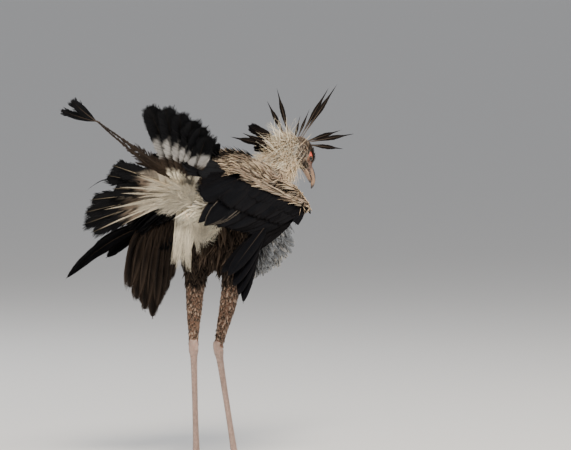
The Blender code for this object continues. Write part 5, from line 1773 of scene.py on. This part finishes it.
def layPlate(bag, rows, hint, share, turn, halfShare, halfTurn, lift, tint):
    grid = 5
    a, b = np.meshgrid(np.linspace(-1, 1, grid), np.linspace(-1, 1, grid), indexing="ij")
    rounded = np.sqrt(np.clip(1 - 0.30 * b * b, 0, 1))
    alongs = share + a * halfShare * rounded
    angles = turn + b * halfTurn * np.sqrt(np.clip(1 - 0.20 * a * a, 0, 1))
    centres = np.array([r[0] for r in rows], float)
    sizes = np.array([r[1:3] for r in rows], float)
    steps = np.linalg.norm(np.diff(centres, axis=0), axis=1)
    shares = np.concatenate([[0], np.cumsum(steps)]) / steps.sum()
    flatAlong = np.clip(alongs.ravel(), 0, 1)
    centre = np.stack([np.interp(flatAlong, shares, centres[:, k]) for k in range(3)], 1)
    size = np.stack([np.interp(flatAlong, shares, sizes[:, k]) for k in range(2)], 1)
    ahead = unit(centres[-1] - centres[0])
    wide = across(ahead, np.array(hint, float))
    high = np.cross(ahead, wide)
    edge = np.maximum(np.abs(a), np.abs(b)).ravel()
    rise = np.where(edge > 0.99, -0.0006, lift * (0.62 + 0.38 * (a.ravel() + 1) / 2) * (1 - 0.35 * edge ** 2))
    out = wide * (np.cos(angles).ravel() * (size[:, 0] + rise))[:, None]
    out = out + high * (np.sin(angles).ravel() * (size[:, 1] + rise))[:, None]
    triangles = []
    for i in range(grid - 1):
        for j in range(grid - 1):
            p = i * grid + j
            triangles += [(p, p + 1, p + grid + 1), (p, p + grid + 1, p + grid)]
    shade = tint * (1 - 0.35 * (edge > 0.99))[:, None] * (1 + 0.10 * (a.ravel() > 0.4))[:, None]
    place = np.stack([flatAlong, angles.ravel() / 6.3 + 0.5], 1)
    fill(bag, centre + out, triangles, shade, place, place)


scutePlan = {"front": 26, "rear": 30, "rows": 52, "toe": 11, "lift": 0.0011}
for side in (left, right):
    bag = newBag()
    rows = finerRows(shankRows(side), 4)
    for i in range(scutePlan["front"]):
        share = 0.10 + 0.88 * (i + 0.5) / scutePlan["front"]
        shade = colours["legPink"] * rng.uniform(0.86, 1.12)
        # the front of the shank lies at -90 degrees round the tube, its back at 90
        layPlate(bag, rows, (0, 1, 0), share, -math.pi / 2, 0.46 / scutePlan["front"], 0.62,
                 scutePlan["lift"], shade)
    for i in range(scutePlan["rear"]):
        share = 0.10 + 0.86 * (i + 0.5) / scutePlan["rear"]
        shade = colours["legPink"] * rng.uniform(0.75, 1.0)
        layPlate(bag, rows, (0, 1, 0), share, math.pi / 2, 0.42 / scutePlan["rear"], 0.46,
                 scutePlan["lift"] * 0.8, shade)
    for i in range(scutePlan["rows"]):
        share = 0.08 + 0.89 * (i + 0.5) / scutePlan["rows"]
        for turn in (-0.62, -0.32, -0.02, 0.30, 0.60) if i % 2 else (-0.47, -0.17, 0.14, 0.45, 0.75):
            for flip in (0, math.pi):
                angle = turn if flip == 0 else math.pi - turn
                shade = colours["legPink"] * rng.uniform(0.72, 1.05)
                layPlate(bag, rows, (0, 1, 0), share, angle, 0.44 / scutePlan["rows"], 0.135,
                         scutePlan["lift"] * 0.6, shade)
    for word, turn, length, wide in toePlan:
        toe, direction, end = toeRows(side, turn, length, wide)
        hint = np.cross(vec(0, 0, 1), direction)
        toe = finerRows(toe, 4)
        count = scutePlan["toe"] if word != "hind" else 6
        for i in range(count):
            share = 0.14 + 0.80 * (i + 0.5) / count
            shade = colours["legPink"] * rng.uniform(0.86, 1.12)
            layPlate(bag, toe, hint, share, math.pi / 2, 0.46 / count * 0.86, 0.72, scutePlan["lift"], shade)
        for i in range(count * 2):
            share = 0.12 + 0.82 * (i + 0.5) / count / 2
            for angle in (0.42, math.pi - 0.42, -0.05, math.pi + 0.05):
                layPlate(bag, toe, hint, share, angle, 0.23 / count, 0.22, scutePlan["lift"] * 0.6,
                         colours["legPink"] * rng.uniform(0.72, 1.0))
    keep(pieceFrom(bag, "scutes_" + sideWord[side], finishes["scute"]), "leg_skin",
         "tarsus_" + sideWord[side], "foot_" + sideWord[side])


# everything moves by the pose's shift, rides on the root body and stands for its nodes

for obj, slot, nodes in made:
    points = getPoints(obj.data) + poseShift
    points[:, 2] = np.maximum(points[:, 2], 0.0003)
    setPoints(obj.data, points)
    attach(obj, "root")
    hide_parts(*nodes)
print(len(made), "pieces", sum(len(p[0].data.loop_triangles) or len(p[0].data.polygons) for p in made),
      "faces")


# floor, light and camera

deselectAll()
bpy.ops.mesh.primitive_plane_add(size=240)
floor = bpy.context.object
floor.name = "floor"
material, nodes, links, shader = newMaterial("paleFloor")
shader.inputs["Base Color"].default_value = (0.72, 0.71, 0.69, 1)
shader.inputs["Roughness"].default_value = 0.9
grain = addNoise(nodes, links, addNode(nodes, "ShaderNodeTexCoord").outputs["Object"], 60.0, 4.0)
bump = addNode(nodes, "ShaderNodeBump", Strength=0.04, Distance=0.001)
links.new(grain, bump.inputs["Height"])
links.new(bump.outputs["Normal"], shader.inputs["Normal"])
floor.data.materials.append(material)

world = bpy.data.worlds.new("studio")
bpy.context.scene.world = world
world.use_nodes = True
world.node_tree.nodes["Background"].inputs["Color"].default_value = (0.93, 0.95, 1.0, 1)
world.node_tree.nodes["Background"].inputs["Strength"].default_value = 0.46

lightPlan = [("key", (-3.4, -3.2, 4.6), 2.0, 620.0, (1.0, 0.91, 0.78)),
             ("side", (3.4, -3.0, 3.0), 3.0, 120.0, (1.0, 0.96, 0.90)),
             ("rim", (1.5, 4.5, 4.0), 3.0, 160.0, (0.92, 0.95, 1.0))]
for name, place, size, power, colour in lightPlan:
    light = bpy.data.lights.new(name, "AREA")
    light.shape, light.size, light.energy, light.color = "DISK", size, power, colour
    lamp = bpy.data.objects.new(name, light)
    bpy.context.scene.collection.objects.link(lamp)
    lamp.location = place
    lamp.rotation_euler = (Vector((0, 0, 0.6)) - Vector(place)).to_track_quat("-Z", "Y").to_euler()

# the photo's middle and the bird's origin in it are in pixels, pixel is metres
cameraPlan = {"azimuth": -55, "elevation": 3, "distance": 17.13, "lens": 400, "pixel": 0.0027,
              "middle": (285.5, 225), "origin": (210, 468)}
azimuth, elevation = math.radians(cameraPlan["azimuth"]), math.radians(cameraPlan["elevation"])
toCamera = vec(math.sin(azimuth) * math.cos(elevation), -math.cos(azimuth) * math.cos(elevation),
               math.sin(elevation))
sideways = vec(math.cos(azimuth), math.sin(azimuth), 0)
acrossBy, upBy = (abs(a - b) for a, b in zip(cameraPlan["middle"], cameraPlan["origin"]))
target = sideways * acrossBy * cameraPlan["pixel"]
target += vec(0, 0, upBy * cameraPlan["pixel"] * math.cos(elevation)) + poseShift
camera = bpy.data.cameras.new("camera")
camera.lens, camera.sensor_width, camera.clip_end = cameraPlan["lens"], 36.0, 2000.0
eyePoint = bpy.data.objects.new("camera", camera)
bpy.context.scene.collection.objects.link(eyePoint)
eyePoint.location = Vector(target + toCamera * cameraPlan["distance"])
eyePoint.rotation_euler = Vector(-toCamera).to_track_quat("-Z", "Y").to_euler()
bpy.context.scene.camera = eyePoint
print("stage set")
